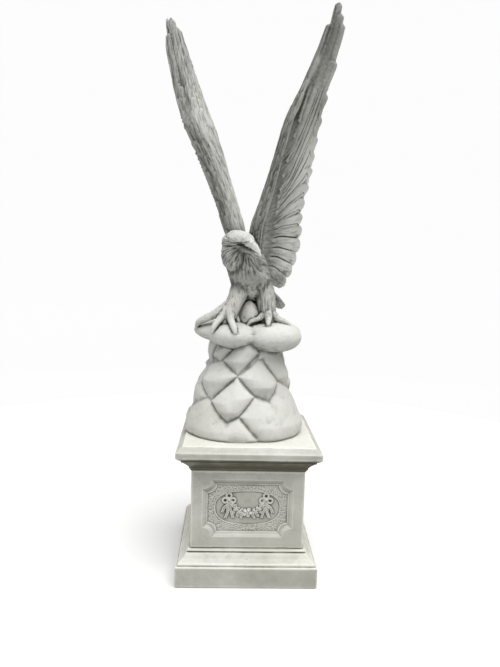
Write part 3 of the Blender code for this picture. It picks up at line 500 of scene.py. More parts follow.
def wing_core(table, swell):
    """The arm of the wing and the web behind it."""
    heights = np.concatenate((np.arange(1.16, 2.09, 0.012), [2.095]))
    _, bulge, _, chord, length, inward = wing_lines(heights, table)
    ridge, side, span, out = arm_frame(heights, table)
    rings = []
    for k, z in enumerate(heights):
        web = min(0.011, 0.10 * length[k])
        upper = float(step(1.45, 1.62, z))
        end = 0.93 + 0.045 * upper
        hollow = 1.2 * float(step(1.36, 1.5, z) * step(1.95, 1.75, z))

        def on_web(c, over):
            return ridge[k] + c * chord[k] + inward[k] * (hollow_of(c, length[k]) + over * web)

        arm = [ridge[k] - side[k] * a * span[k] + out[k] * arm_arch(a, span[k], swell)
               for a in np.linspace(0, 1, 14)[:-1]]
        back = np.array([bulge[k], on_web(0.34, 2.2), on_web(0.55, 1.4), on_web(end, 0.25)])
        under = np.array([on_web(end, -0.15), on_web(0.66, -0.35 - 0.4 * upper),
                          on_web(0.40, -0.5 - 0.4 * upper), on_web(0.22, -0.7 + 0.8 * hollow),
                          on_web(0.11, -0.7 + 1.3 * hollow), on_web(0.04, -0.3 + 0.8 * hollow),
                          ridge[k]])
        ring = list(arm)
        for line, count in ((back, 14), (under, 22)):
            at = distances(line)
            ring.extend(curve(np.linspace(0, at[-1], count)[:-1], np.column_stack((at, line))))
        rings.append([(x, y, z) for x, y in ring])
    return loft(rings)


def arm_feather(table, swell, z, across, length, half, thick, lift):
    """A short feather on the arm that points up: across runs from the ridge (0) to the bulge (1)."""
    s = stations(0.2, 10, 8)
    heights = z + length * s
    ridge, side, span, out = arm_frame(heights, table)
    width = half * blade_width(s, length, half, 0.5)
    rings = []
    for k, height in enumerate(heights):
        ring = []
        for a, o in ARM_RING:
            place = across - a * width[k] / span[k]
            arch = arm_arch(place, span[k], swell) - 0.5 * max(0.0, -place) * span[k]
            rise = arch + lift + 0.0035 * s[k] + thick * o - 0.002
            ring.append((*(ridge[k] - side[k] * place * span[k] + out[k] * rise), height))
        rings.append(ring)
    return loft(rings)


def feather_half(tip):
    """Half width of the flight feather whose tip is at this height."""
    if tip > 1.9:
        return 0.0150 if tip > 2.0 else 0.0200
    return 0.0250 if tip > 1.70 else 0.0335


def wing_shells(table, swell):
    """Core, flight feathers and last coverts of a wing, on the side of +x."""
    shells = [wing_core(table, swell)]
    for k, (tip, drop) in enumerate(FEATHERS):
        length = wing_lines(tip, table)[4][0]
        half = feather_half(tip)
        along_edge = min(1.0, max(0.0, (tip - 1.30) / 0.35))
        end_c = TIP_PLACES[k] if k < len(TIP_PLACES) else 1.0 - along_edge * 0.60 * half / length
        start_c = 0.30 if tip > 1.70 else 0.34
        shells.append(feather(table, (start_c, tip - drop), (end_c, tip), half, 0.0046,
                              0.0010 * (k % 2) + 0.0006, 0.11, 1.0 - 0.25 * along_edge))
    for covert in LAST_COVERTS:
        shells.append(arm_feather(table, swell, *covert, 0.0028, -0.0006))
    return shells


def tip_shells():
    """Long feathers that show their broad sides at the tip of the left wing."""
    return [arm_feather(LEFT_WING_SECTIONS, LEFT_SWELL, *blade, 0.0050, -0.0020)
            for blade in TIP_BLADES]


def ellipse_rings(table, sides, gap):
    """Level rings through a table of heights, middles and half sizes, a gap apart."""
    table = np.array(table)
    heights = np.linspace(table[0, 0], table[-1, 0], int((table[-1, 0] - table[0, 0]) / gap))
    rows = curve(heights, table)
    turns = 2 * np.pi * (np.arange(sides) + 0.5) / sides
    return [np.column_stack((cx + a * np.cos(turns), cy + b * np.sin(turns), np.full(sides, z)))
            for z, (cx, cy, a, b) in zip(heights, rows)]


def head_frame():
    """Middle and axes of the crown: ahead, to its side, and up."""
    ahead = unit(np.array(HEAD_AHEAD))
    side = unit(np.cross(ahead, (0.0, 0.0, 1.0)))
    return np.array(HEAD_MIDDLE), np.array((ahead, side, np.cross(side, ahead)))


def head_shells():
    """The crown with its overhanging brow, the cheeks, the hooked beak and the jaw."""
    middle, axes = head_frame()

    def crown(u):
        # the lower half is flat, so that the brow stands over the cheeks
        local = u * np.array((0.060, 0.044, 0.038))
        rim = -0.004 + 0.22 * np.maximum(local[:, 0], 0) + 0.10 * np.maximum(-local[:, 0], 0)
        local[:, 2] = np.maximum(local[:, 2], rim - 0.12 * np.maximum(rim - local[:, 2], 0))
        return middle + local @ axes

    shells = [block(crown, 12, 2.1),
              ellipsoid((-0.030, -0.102, 1.262), (0.049, 0.060, 0.070), 2.0),
              ellipsoid((-0.024, -0.110, 1.300), (0.053, 0.051, 0.043), 2.0, axes),
              ellipsoid((0.002, -0.120, 1.284), (0.034, 0.032, 0.030), 2.0),
              ellipsoid((0.006, -0.140, 1.290), (0.0075, 0.0075, 0.0075), 2.0)]
    # culmen and sides of the beak, then the jaw under it
    sections = curve(np.linspace(0, 1, 30), np.array(BEAK))
    spine = sections[:, :3]
    ahead = unit(np.gradient(spine, axis=0))
    across = unit(np.cross(ahead, axes[2]))
    over = np.cross(across, ahead)
    shells.append(loft([[spine[k] + across[k] * a * wide + over[k] * b * tall for a, b in BEAK_RING]
                        for k, (wide, tall) in enumerate(sections[:, 3:5])]))
    shells.append(tube(JAW))
    return shells


def leg_shells():
    """Feathered legs, feet and toes, and the egg-shaped stone between them."""
    shells = [tube(LEFT_LEG, 20), tube(RIGHT_LEG, 20), loft(ellipse_rings(EGG, 32, 0.004)),
              ellipsoid(*BETWEEN_LEGS)]
    return shells + [tube(path) for path in TOES]


def tail_shells():
    """Tail feathers that hang behind the legs."""
    shells = []
    for k in range(5):
        spread = (k - 2) / 2
        root = np.array((0.030 + 0.020 * spread, 0.060, 1.150))
        low = abs(spread)
        tip = np.array((0.035 + 0.080 * spread, 0.212 - 0.020 * low, 1.028 + 0.012 * low))
        length = np.linalg.norm(tip - root)
        ahead = (tip - root) / length
        side = unit(np.cross(ahead, (0.0, 0.6, 0.8)))
        over = np.cross(side, ahead)
        s = stations(0.16, 14, 8)
        width = 0.025 * blade_width(s, length, 0.025)
        shells.append(loft([[root + ahead * (length * s[i]) + side * (a * w)
                             + over * (0.008 * o + 0.004 * (k % 2) + 0.10 * a * w)
                             for a, o in TAIL_RING] for i, w in enumerate(width)]))
    return shells


def from_segment(u, v, a, b):
    """Distance of points (u, v) from the straight line between a and b."""
    (ax, ay), (bx, by) = a, b
    t = ((u - ax) * (bx - ax) + (v - ay) * (by - ay)) / ((bx - ax) ** 2 + (by - ay) ** 2)
    t = np.clip(t, 0, 1)
    return np.hypot(u - ax - t * (bx - ax), v - ay - t * (by - ay))


def outline_depth(u, v, outline):
    """How far points (u, v) lie inside an outline, negative outside."""
    corners = np.array(outline)
    nearest = np.full(len(u), 1e9)
    inside = np.zeros(len(u), bool)
    for (ax, ay), (bx, by) in zip(corners, np.roll(corners, -1, axis=0)):
        nearest = np.minimum(nearest, from_segment(u, v, (ax, ay), (bx, by)))
        crosses = ((ay > v) != (by > v)) & (u < (bx - ax) * (v - ay) / (by - ay + 1e-12) + ax)
        inside ^= crosses
    return np.where(inside, nearest, -nearest)


def pillow(depth, swell):
    """Height of a boulder over the seam, from how far inside its outline a point lies."""
    depth = np.maximum(depth, 0.0)
    return swell * (0.60 * (1 - np.exp(-depth / BOULDER_ROUND)) + 0.40 * step(0.0, 0.055, depth))


def facets(z, edge, low, high):
    """Upper and lower facet of a boulder, highest along the edge between them."""
    above = np.clip((z - edge) / max(high - edge, 1e-6), 0, 1)
    below = np.clip((edge - z) / max(edge - low, 1e-6), 0, 1)
    return 1.0 - 0.40 * above - 0.62 * below


def mound_shell():
    """The mound as closely packed boulders with thin seams."""
    table = np.array(MOUND)
    columns, rows = 420, 160
    turn = np.linspace(-math.pi, math.pi, columns, endpoint=False)
    height = np.linspace(ROCK_BOTTOM - 0.006, ROCK_TOP, rows)
    t, z = (a.ravel() for a in np.meshgrid(turn, height))
    cx, cy, a, b = curve(z, table).T
    lift = np.zeros(len(t))
    outside = np.full(len(t), 1.0)
    for swell, edge, outline in BOULDERS:
        heights = [p[1] for p in outline]
        scaled = [(p[0] * 0.17, p[1]) for p in outline]
        depth = outline_depth(t * 0.17, z, scaled)
        boulder = pillow(depth, swell) * facets(z, edge, min(heights), max(heights))
        lift = np.where(depth > 0, boulder, lift)
        outside = np.minimum(outside, -depth)
    # plainer boulders, in staggered rows of diamonds, on the sides and back
    u = t * 0.19 / BACK_WIDE + z / BACK_TALL + 0.12
    v = t * 0.19 / BACK_WIDE - z / BACK_TALL
    near_u, near_v = np.abs((u % 1.0) - 0.5), np.abs((v % 1.0) - 0.5)
    depth = (0.5 - np.maximum(near_u, near_v)) * BACK_WIDE * 0.70
    middle = ((np.floor(u) - np.floor(v)) * 0.5 - 0.06) * BACK_TALL
    back = pillow(depth, 0.030) * (1 - 0.45 * np.clip((middle - 0.012 - z) / (0.5 * BACK_TALL), 0, 1))
    lift = np.where(outside > 0, back * step(0.010, 0.030, outside), lift)
    # the skirt is rounded under, where it rests on the cap
    foot = np.clip(1 - (z - ROCK_BOTTOM) / 0.012, 0, 1)
    lift -= 0.010 * foot ** 2
    points = np.column_stack((cx + (a + lift) * np.sin(t), cy - (b + lift) * np.cos(t), z))
    return loft(points.reshape(rows, columns, 3))


def slab_shell():
    """The slab as one stone: its lobes flow into each other, with notches between them at the rim."""
    def place(u):
        reach = np.zeros(len(u))
        for middle, radii, power in SLAB:
            # walk outwards from the slab's middle to where each lobe ends
            offset = (np.array(SLAB_MIDDLE) - np.array(middle)) / np.array(radii)
            direction = u / np.array(radii)
            along = np.linspace(0.0, 0.28, 141)
            at = offset[None, None, :] + along[:, None, None] * direction[None, :, :]
            inside = np.sum(np.abs(at) ** power, axis=2) < 1
            last = along[len(along) - 1 - np.argmax(inside[::-1], axis=0)]
            last = np.where(inside.any(axis=0), last, 0.0)
            reach += last ** SLAB_BLEND
        return np.array(SLAB_MIDDLE) + u * (reach ** (1 / SLAB_BLEND))[:, None]

    return block(place, 44, 2.0)


def turned(points, turn, shift):
    """Points turned about Z, then moved along X."""
    cos, sin = math.cos(turn), math.sin(turn)
    return np.column_stack((cos * points[:, 0] - sin * points[:, 1] + shift,
                            sin * points[:, 0] + cos * points[:, 1], points[:, 2]))


def linked(name, data):
    """A new object of the data, in the scene."""
    made = bpy.data.objects.new(name, data)
    bpy.context.scene.collection.objects.link(made)
    return made


def object_from(name, points, faces):
    """A new object from points and faces."""
    mesh = bpy.data.meshes.new(name)
    mesh.from_pydata(np.asarray(points).tolist(), [], [tuple(f) for f in faces])
    return linked(name, mesh)


def joined(name, shells):
    """All shells as one object, their faces turned outwards."""
    points, faces, count = [], [], 0
    for shell_points, shell_faces in shells:
        points.append(np.asarray(shell_points))
        faces.extend([tuple(i + count for i in f) for f in shell_faces])
        count += len(shell_points)
    made = object_from(name, np.concatenate(points), faces)
    body = bmesh.new()
    body.from_mesh(made.data)
    bmesh.ops.recalc_face_normals(body, faces=body.faces)
    body.to_mesh(made.data)
    body.free()
    return made


def apply_modifiers(obj):
    """Take the result of the object's modifiers as its mesh."""
    graph = bpy.context.evaluated_depsgraph_get()
    mesh = bpy.data.meshes.new_from_object(obj.evaluated_get(graph))
    obj.modifiers.clear()
    old = obj.data
    obj.data = mesh
    bpy.data.meshes.remove(old)


def thinned(obj):
    """Cut the mesh into triangles, and thin them out to the most that a piece may have."""
    obj.modifiers.new("cut", "TRIANGULATE")
    apply_modifiers(obj)
    ratio = MOST_TRIANGLES / len(obj.data.polygons)
    if ratio < 1:
        obj.modifiers.new("thin", "DECIMATE").ratio = ratio
        apply_modifiers(obj)


def points_of(obj):
    """The mesh's points as an array."""
    co = np.empty(len(obj.data.vertices) * 3)
    obj.data.vertices.foreach_get("co", co)
    return co.reshape(-1, 3)


def normals_of(obj):
    """The normals of the mesh's points as an array."""
    found = np.empty(len(obj.data.vertices) * 3, np.float32)
    obj.data.vertex_normals.foreach_get("vector", found)
    return found.reshape(-1, 3).astype(float)


def edges_of(obj):
    """The mesh's edges as an array of point pairs."""
    found = np.empty(len(obj.data.edges) * 2, np.int32)
    obj.data.edges.foreach_get("vertices", found)
    return found.reshape(-1, 2)


def set_points(obj, points):
    """Move the mesh's points."""
    obj.data.vertices.foreach_set("co", np.asarray(points, float).ravel())
    obj.data.update()


def relaxed(values, edges, rounds):
    """Values at points, averaged with those of their neighbours."""
    values = np.asarray(values, float)
    count = np.bincount(edges.ravel(), minlength=len(values)).astype(float)
    count[count == 0] = 1
    columns = values.reshape(len(values), -1)
    for _ in range(rounds):
        total = np.empty_like(columns)
        for k in range(columns.shape[1]):
            total[:, k] = (np.bincount(edges[:, 0], columns[edges[:, 1], k], len(values))
                           + np.bincount(edges[:, 1], columns[edges[:, 0], k], len(values)))
        columns = 0.5 * columns + 0.5 * total / count[:, None]
    return columns.reshape(values.shape)


def keep_largest(obj):
    """Remove loose inner skins and leave the largest."""
    edges = edges_of(obj)
    count = len(obj.data.vertices)
    group = np.arange(count)
    while True:
        low = np.minimum(group[edges[:, 0]], group[edges[:, 1]])
        fresh = group.copy()
        np.minimum.at(fresh, edges[:, 0], low)
        np.minimum.at(fresh, edges[:, 1], low)
        fresh = fresh[fresh]
        if np.array_equal(fresh, group):
            break
        group = fresh
    names, sizes = np.unique(group, return_counts=True)
    if len(names) == 1:
        return
    largest = names[np.argmax(sizes)]
    body = bmesh.new()
    body.from_mesh(obj.data)
    body.verts.ensure_lookup_table()
    loose = [body.verts[i] for i in np.nonzero(group != largest)[0]]
    bmesh.ops.delete(body, geom=loose, context="VERTS")
    body.to_mesh(obj.data)
    body.free()


def wing_place(points):
    """Where points in the eagle's frame lie on a wing.

    Gives c, distance from the web, chord, distance along the arm from its ridge, distance in front of
    the arm's plane, and the arm's width.
    """
    found = []
    for table in (WING_SECTIONS, LEFT_WING_SECTIONS):
        ridge, _, _, chord, length, inward = wing_lines(points[:, 2], table)
        away = np.column_stack((np.abs(points[:, 0]), points[:, 1])) - ridge
        c = np.sum(away * chord, axis=1) / length ** 2
        off = np.sum(away * inward, axis=1) - hollow_of(c, length)
        _, side, span, out = arm_frame(points[:, 2], table)
        found.append((c, off, length, -np.sum(away * side, axis=1), np.sum(away * out, axis=1), span))
    return tuple(np.where(points[:, 0] > 0, a, b) for a, b in zip(*found))


def bird_places(obj):
    """Where an object's points lie on the eagle.

    Gives them in its frame, their heights, wing_place, how far they lie across and along the wing's
    feathers, their turn and distance about the eye, and their places from the middle of the crown.
    """
    p = turned(points_of(obj) - (EAGLE_X, 0, 0), -EAGLE_TURN, 0.0)
    z = p[:, 2]
    wing = wing_place(p)
    c, _, length = wing[:3]
    drops = np.array(FEATHERS)[::-1]
    slant = np.interp(z, drops[:, 0], drops[:, 1]) * np.clip((c - 0.3) / 0.7, -0.4, 1.2)
    away = p - np.array(EYE)
    about = np.arctan2(away[:, 2], away[:, 0]), np.hypot(away[:, 0], away[:, 2])
    middle, axes = head_frame()
    return p, z, wing, (z - slant, c * length), about, (p - middle) @ axes.T


def wing_mask(wing, z, thick, past):
    """1 on a wing's web and 0 off it, softened where it joins the body."""
    c, off = wing[:2]
    found = ((z > 1.20) & (np.abs(off) < thick) & (c > -0.12) & (c < past)).astype(float)
    return found * (step(0.05, 0.12, c) * (z < 1.36) + (z >= 1.36))


def arm_mask(wing, z, low, behind, before, margin):
    """1 on the arm of a wing and 0 off it."""
    arm, front, span = wing[3:]
    return ((z > low) & (front > -behind) & (front < before) & (arm > -margin)
            & (arm < span + margin)).astype(float)


def socket_place(p, lower, radii):
    """Distance from the middle of the eye's hollow, 1 at its rim."""
    return np.linalg.norm((p - np.array(EYE) - (-0.009, 0.0, -lower)) / radii, axis=1)


def feather_seams(c, z, length):
    """How close points of the web lie to the edge where a flight feather covers the next one, 0 to 1."""
    found = np.zeros(len(z))
    for tip, drop in FEATHERS[3:]:
        along = np.clip((c - 0.34) / (1 - 0.34 - 0.60 * feather_half(tip) / length), 0.02, 1.0)
        s = along ** (1 / (1 - 0.25 * min(1.0, max(0.0, (tip - 1.30) / 0.35))))
        steep = np.sqrt(1 + (drop / (0.64 * length)) ** 2)
        away = (z - (tip - drop * (1 - s))) / steep
        edge = feather_half(tip) * blade_width(s, 0.64 * length * steep, feather_half(tip)) + 0.0012
        found = np.maximum(found, step(0.0042, 0.0010, np.abs(away - edge)) * (along < 0.985))
    return found


def scales(u, v, wide, tall, seed):
    """Height of overlapping rounded feathers that point down, 0 to 1, over a flat (u, v) in metres."""
    best = np.zeros(len(u))
    for back in (0, 1):
        row = np.floor(v / tall) + back
        shift = 0.5 * (row % 2)
        col = np.floor(u / wide + shift)
        jitter = lattice(np.column_stack((col, row, np.zeros(len(u)))) + 0.5, seed)
        a = (u / wide + shift - col - 0.5 + 0.10 * jitter) * 2
        b = (row + 1 - v / tall) / 1.75 + 0.05 * jitter
        outline = np.sqrt(np.clip(1 - np.clip((b - 0.45) / 0.52, 0, 1) ** 2, 0, 1))
        inside = step(-0.02, 0.16, outline - np.abs(a) * 0.94) * (b > 0)
        shaft = 0.10 * inside * step(0.16, 0.0, np.abs(a))
        best = np.maximum(best, inside * (0.35 + 0.65 * b) * (1 - 0.25 * a ** 2) + shaft)
    return best


# heights and depths of the fine carving
BARB = 0.0004
SEAM = 0.0022
COVERT = 0.0021
STROKE = 0.0009
VANE_GROOVE = 0.0022
PLUME = 0.0008
HACKLE = 0.0022
HACKLE_HAIR = 0.0018
LEG_STREAK = 0.0018
CROWN_HAIR = 0.0016
CROWN_LOCK = 0.0024
SOCKET = 0.0040
ROCK_UNEVEN = 0.0016
ROCK_PIT = 0.0004
ALL_OVER = 0.00025


def carve_eagle(obj):
    """Feather barbs, plumage, leg streaks and rock wear, as small moves along the normals."""
    world, normal = points_of(obj), normals_of(obj)
    p, z, wing, (across, run), (spin, reach), h = bird_places(obj)
    c, _, length, arm, _, span = wing
    on_arm = arm_mask(wing, z, 1.30, 0.010, 0.05, 0.012)
    on_wing = wing_mask(wing, z, 0.040, 1.15) * (1 - on_arm)
    # barbs: fine grooves that slant across the feathers
    barbs = flat_noise(across, run, 0.0060, 0.070, 3)
    seams = feather_seams(c, z, length) * step(0.36, 0.46, c) * step(1.90, 1.80, z)
    move = on_wing * (BARB * barbs - SEAM * seams)
    # the arm has low coverts that point up, and short strokes along them
    coverts = scales(arm + 0.006 * noise(p, 0.05, 11), -z, 0.030, 0.055, 13)
    strokes = flat_noise(arm, z * 0.14, 0.0055, 0.0055, 9)
    hand = step(1.88, 1.96, z)
    move += on_arm * ((1 - hand) * COVERT * (coverts - 0.5) + STROKE * strokes)
    # the long flight feathers of the hand, with a groove between each two
    vane = np.abs(((arm / span) * 4.0) % 1.0 - 0.5)
    move -= on_arm * hand * VANE_GROOVE * step(0.40, 0.50, vane)
    # plumage of neck and breast
    cx, cy = curve(z, np.array(TORSO))[:, 0:2].T
    around = np.arctan2(p[:, 0] - cx, -(p[:, 1] - cy)) * 0.085
    body = (z > 1.075) * (z < 1.36) * (1 - on_wing) * (1 - on_arm * (z > 1.34))
    plume = scales(around + 0.004 * noise(p, 0.03, 5), z, 0.024, 0.020, 21)
    move += body * step(1.20, 1.16, z) * step(1.10, 1.14, z) * PLUME * (plume - 0.5)
    # hackles sweep away from the eye, down over the neck and throat
    neck = body * step(1.345, 1.300, z) * step(1.165, 1.235, z) * step(0.012, 0.035, reach)
    neck = neck * (p[:, 1] < -0.02)
    locks = scales(spin * 0.060 + 0.003 * noise(p, 0.02, 15), -reach, 0.0115, 0.034, 25)
    fine = flat_noise(spin * 0.06, reach * 0.14, 0.0042, 0.0042, 35)
    move += neck * (HACKLE * (locks - 0.5) + HACKLE_HAIR * fine)
    # long streaks down the legs
    streak = noise(np.column_stack((p[:, 0], p[:, 1], z * 0.16)), 0.010, 31)
    legs = (z > 1.012) * step(1.19, 1.13, z) * (np.abs(p[:, 1]) < 0.14) * (1 - on_wing)
    move += legs * LEG_STREAK * streak
    # crown: strokes and locks that run back from the beak
    head = (np.linalg.norm(h / (0.066, 0.052, 0.034), axis=1) < 1.1)
    head = head * (h[:, 0] < 0.045) * (h[:, 2] > -0.012)
    combed = noise(np.column_stack((h[:, 0] * 0.18, h[:, 1], h[:, 2])), 0.0075, 41)
    mantle = scales(h[:, 1] + 0.003 * noise(p, 0.03, 43), h[:, 0], 0.016, 0.026, 45)
    move += head * (CROWN_HAIR * combed + CROWN_LOCK * (mantle - 0.5))
    # the eye lies in a hollow under the brow
    move -= SOCKET * step(1.1, 0.4, socket_place(p, 0.002, (0.021, 0.024, 0.0055)))
    # rock: broad unevenness and small pits
    pits = step(0.74, 0.94, noise(world, 0.012, 61, 1))
    uneven = noise(world, 0.055, 51, 3)
    move += (z < ROCK_TOP).astype(float) * (ROCK_UNEVEN * uneven - ROCK_PIT * pits)
    move += ALL_OVER * noise(world, 0.006, 71, 1)
    set_points(obj, world + normal * move[:, None])


def scene_tree(pieces):
    """One search tree of all pieces, for how open their points are."""
    points, faces, count = [], [], 0
    for obj in pieces:
        points.extend(v.co[:] for v in obj.data.vertices)
        faces.extend([i + count for i in p.vertices] for p in obj.data.polygons)
        count = len(points)
    return BVHTree.FromPolygons(points, faces)


def shelter(obj, tree, rays):
    """How open each point is to the sky and the room around it, 0 to 1."""
    points, normals = points_of(obj), normals_of(obj)
    spread = []
    for k in range(rays):
        height = 1 - (k + 0.5) / rays
        turn = k * 2.39996
        flat = math.sqrt(1 - height * height)
        spread.append((flat * math.cos(turn), flat * math.sin(turn), height))
    spread = np.array(spread)
    found = np.zeros(len(points))
    for i, (point, n) in enumerate(zip(points, normals)):
        side = np.cross(n, (0.3, 0.2, 0.93))
        side /= np.linalg.norm(side) + 1e-9
        rotate = np.array((side, np.cross(n, side), n))
        origin = Vector(point + n * 0.0012)
        clear = 0
        for ray in spread @ rotate:
            if tree.ray_cast(origin, Vector(ray), RAY_REACH)[0] is None:
                clear += 1
        found[i] = clear / rays
    return found


def eagle_look(obj):
    """Of each point: greyness from 0 to 1, where its streaks run, their strength, and its shade's."""
    p, z, wing, (across, run), (spin, reach), h = bird_places(obj)
    c, arm = wing[0], wing[3]
    up = normals_of(obj)[:, 2]
    on_wing = wing_mask(wing, z, 0.045, 1.2)
    on_arm = arm_mask(wing, z, 1.32, 0.012, 0.06, 0.02)
    # greyness: the wings and breast are darkest, the crown, beak, legs and rock pale
    grey = 0.66 * step(1.10, 1.17, z)
    grey += on_wing * (-0.62 * step(0.45, 0.75, c) * step(1.80, 1.65, z) + 0.04 * step(1.80, 1.90, z))
    # painted shade on the arms: the right arm and the ridge side of the left arm, turned from the light,
    # are darkest; painted paler on the left arm's band that faces the light
    left_arm = 1.0 - 0.80 * step(0.030, 0.070, arm) * step(2.02, 1.85, z) - 0.36 * step(1.88, 2.0, z)
    grey = np.where(on_arm > 0, np.where(p[:, 0] < 0, left_arm, 1.0), grey)
    # breast and throat in front are greyer: partly dark wash, partly painted shadow under the head
    body = (1 - on_wing) * (1 - on_arm) * step(1.11, 1.15, z) * step(1.30, 1.27, z) * (p[:, 1] < 0.02)
    grey += body * 0.34 * step(-0.085, -0.055, p[:, 0])
    # the cheek is paler
    grey -= 0.32 * (body * step(1.235, 1.262, z) * step(-0.020, -0.040, p[:, 0]))
    left_leg = step(0.05, 0.0, p[:, 0]) * step(1.15, 1.09, z)
    right_leg = step(1.00, 1.06, z) * step(1.17, 1.10, z) * (1 - left_leg)
    grey += 0.60 * right_leg * step(0.035, 0.06, p[:, 0])
    # painted shade on the rock: faces that turn down are darker, side faces somewhat
    grey += (z < 1.0) * (0.55 * np.maximum(-up, 0) + 0.17 * np.maximum(1 - up, 0) ** 1.5)
    crown = step(1.15, 0.95, np.linalg.norm(h / (0.066, 0.052, 0.046), axis=1))
    crown = crown * step(-0.008, 0.004, h[:, 2])
    beak = np.min([np.linalg.norm(p - q, axis=1) for q in np.array(BEAK)[:, 1:4]], axis=0)
    beak = step(0.023, 0.018, beak)
    grey *= 1 - np.maximum(0.88 * crown, beak)
    # painted shade in the eye's hollow under the brow
    grey = np.maximum(grey, step(1.15, 0.6, socket_place(p, 0.003, (0.024, 0.026, 0.0075))))
    # streaks follow the feathers
    zero = np.zeros(len(z))
    flow = np.column_stack((p[:, 0] / 0.006, p[:, 1] / 0.006, z / 0.045))
    for where, places in (
            ((z > 1.16) & (z < 1.345) & (on_wing < 0.5), (spin * 14.0, reach / 0.035, zero + 13)),
            (on_wing > 0.5, (across / 0.0048, run / 0.05, zero)),
            (on_arm > 0.5, (arm / 0.0045, z / 0.05, zero + 7)),
            (crown > 0.5, (h[:, 0] / 0.030, h[:, 1] / 0.0050, h[:, 2] / 0.0050))):
        flow[where] = np.column_stack(places)[where]
    hair = step(1.000, 1.03, z) * (1 - 0.30 * crown) * (1 - 0.95 * beak)
    hair *= 1 - 0.5 * left_leg
    hair *= 1 - 0.50 * on_wing
    hair *= 1 - 0.65 * step(1.19, 1.15, z) * step(1.08, 1.11, z) * (1 - on_wing)
    egg = (np.hypot(p[:, 0] - EGG[0][1], p[:, 1] - EGG[0][2]) < 0.046) * (z < 1.082)
    hair *= 1 - egg
    grey = np.where(egg, 0.30 * grey, grey)
    shade = np.where(z < 0.965, 0.45, 1.0)
    return np.clip(grey, 0, 1), flow, hair, shade


def plinth_look(obj):
    """The same of the plinth: painted paler on faces that point up, and painted shade on side faces and
    underneath.
    """
    p = points_of(obj)
    z, up = p[:, 2], normals_of(obj)[:, 2]
    # painted shade: faces that point sideways are greyer and faces that point down darkest
    grey = 0.50 * (1 - np.clip(up, 0, 1)) ** 2 + 1.1 * np.maximum(-up, 0)
    # painted shade in the hollow under the cap's face
    grey += 0.45 * step(CAP_FACE_BOTTOM + 0.002, CAP_FACE_BOTTOM - 0.006, z) * (z > CAP_BOTTOM)
    sunk = np.max(np.abs(p[:, :2]), axis=1) < DIE_HALF - 0.5 * PANEL_DEPTH
    grey += 0.05 * sunk * (z > DIE_BOTTOM + 0.01) * (z < DIE_TOP - 0.01)
    # the base block darker, and painted shade on the cap's steep faces
    grey += 0.16 * (z < BASE_BLOCK_TOP - 0.003) + 0.10 * (z > CAP_FACE_BOTTOM) * (up < 0.3)
    grey += 0.34 * (z > CAP_FACE_TOP - 0.001) * (z < CAP_TOP - 0.0025)
    # painted shade from sheltered places: made stronger under the cap and weaker on its top
    shade = np.where((z > CAP_BOTTOM) & (z < CAP_FACE_BOTTOM), 2.2, 1.0)
    shade[z > CAP_TOP - 0.0005] = 0.45
    return np.clip(grey, 0, 1), p / 0.02, np.zeros(len(z)), shade


def add_patina_and_painted_shade(obj, tree, rays, look):
    """Point attributes for the material: recess, openness (for painted shade), greyness and streaks."""
    edges = edges_of(obj)
    points, normals = points_of(obj), normals_of(obj)
    fine = np.sum((relaxed(points, edges, 2) - points) * normals, axis=1) / 0.0006
    broad = np.sum((relaxed(points, edges, 10) - points) * normals, axis=1) / 0.0022
    recess = relaxed(np.clip(0.5 + 0.25 * fine + 0.35 * broad, 0, 1), edges, 1)
    # openness to the sky, which the material turns into painted shade
    clear = np.full(len(points), 0.8)
    if rays:
        clear = relaxed(shelter(obj, tree, rays), edges, 2)
    grey, flow, hair, shade = look(obj)
    clear = 1 - (1 - clear) * shade
    # where shade is under 1 the patina in the joints is weakened too, and where it is over 1 the recess
    # value is raised as extra painted shade
    weak, strong = np.minimum(shade, 1), np.maximum(shade - 1, 0)
    recess = np.clip(0.5 + (recess - 0.5) * (0.35 + 0.65 * weak) + 0.22 * strong, 0, 1)
    for name, values in (("recess", recess), ("clear", clear), ("grey", grey), ("hair", hair)):
        layer = obj.data.attributes.new(name, "FLOAT", "POINT")
        layer.data.foreach_set("value", values.astype(np.float32))
    layer = obj.data.attributes.new("flow", "FLOAT_VECTOR", "POINT")
    layer.data.foreach_set("vector", flow.astype(np.float32).ravel())


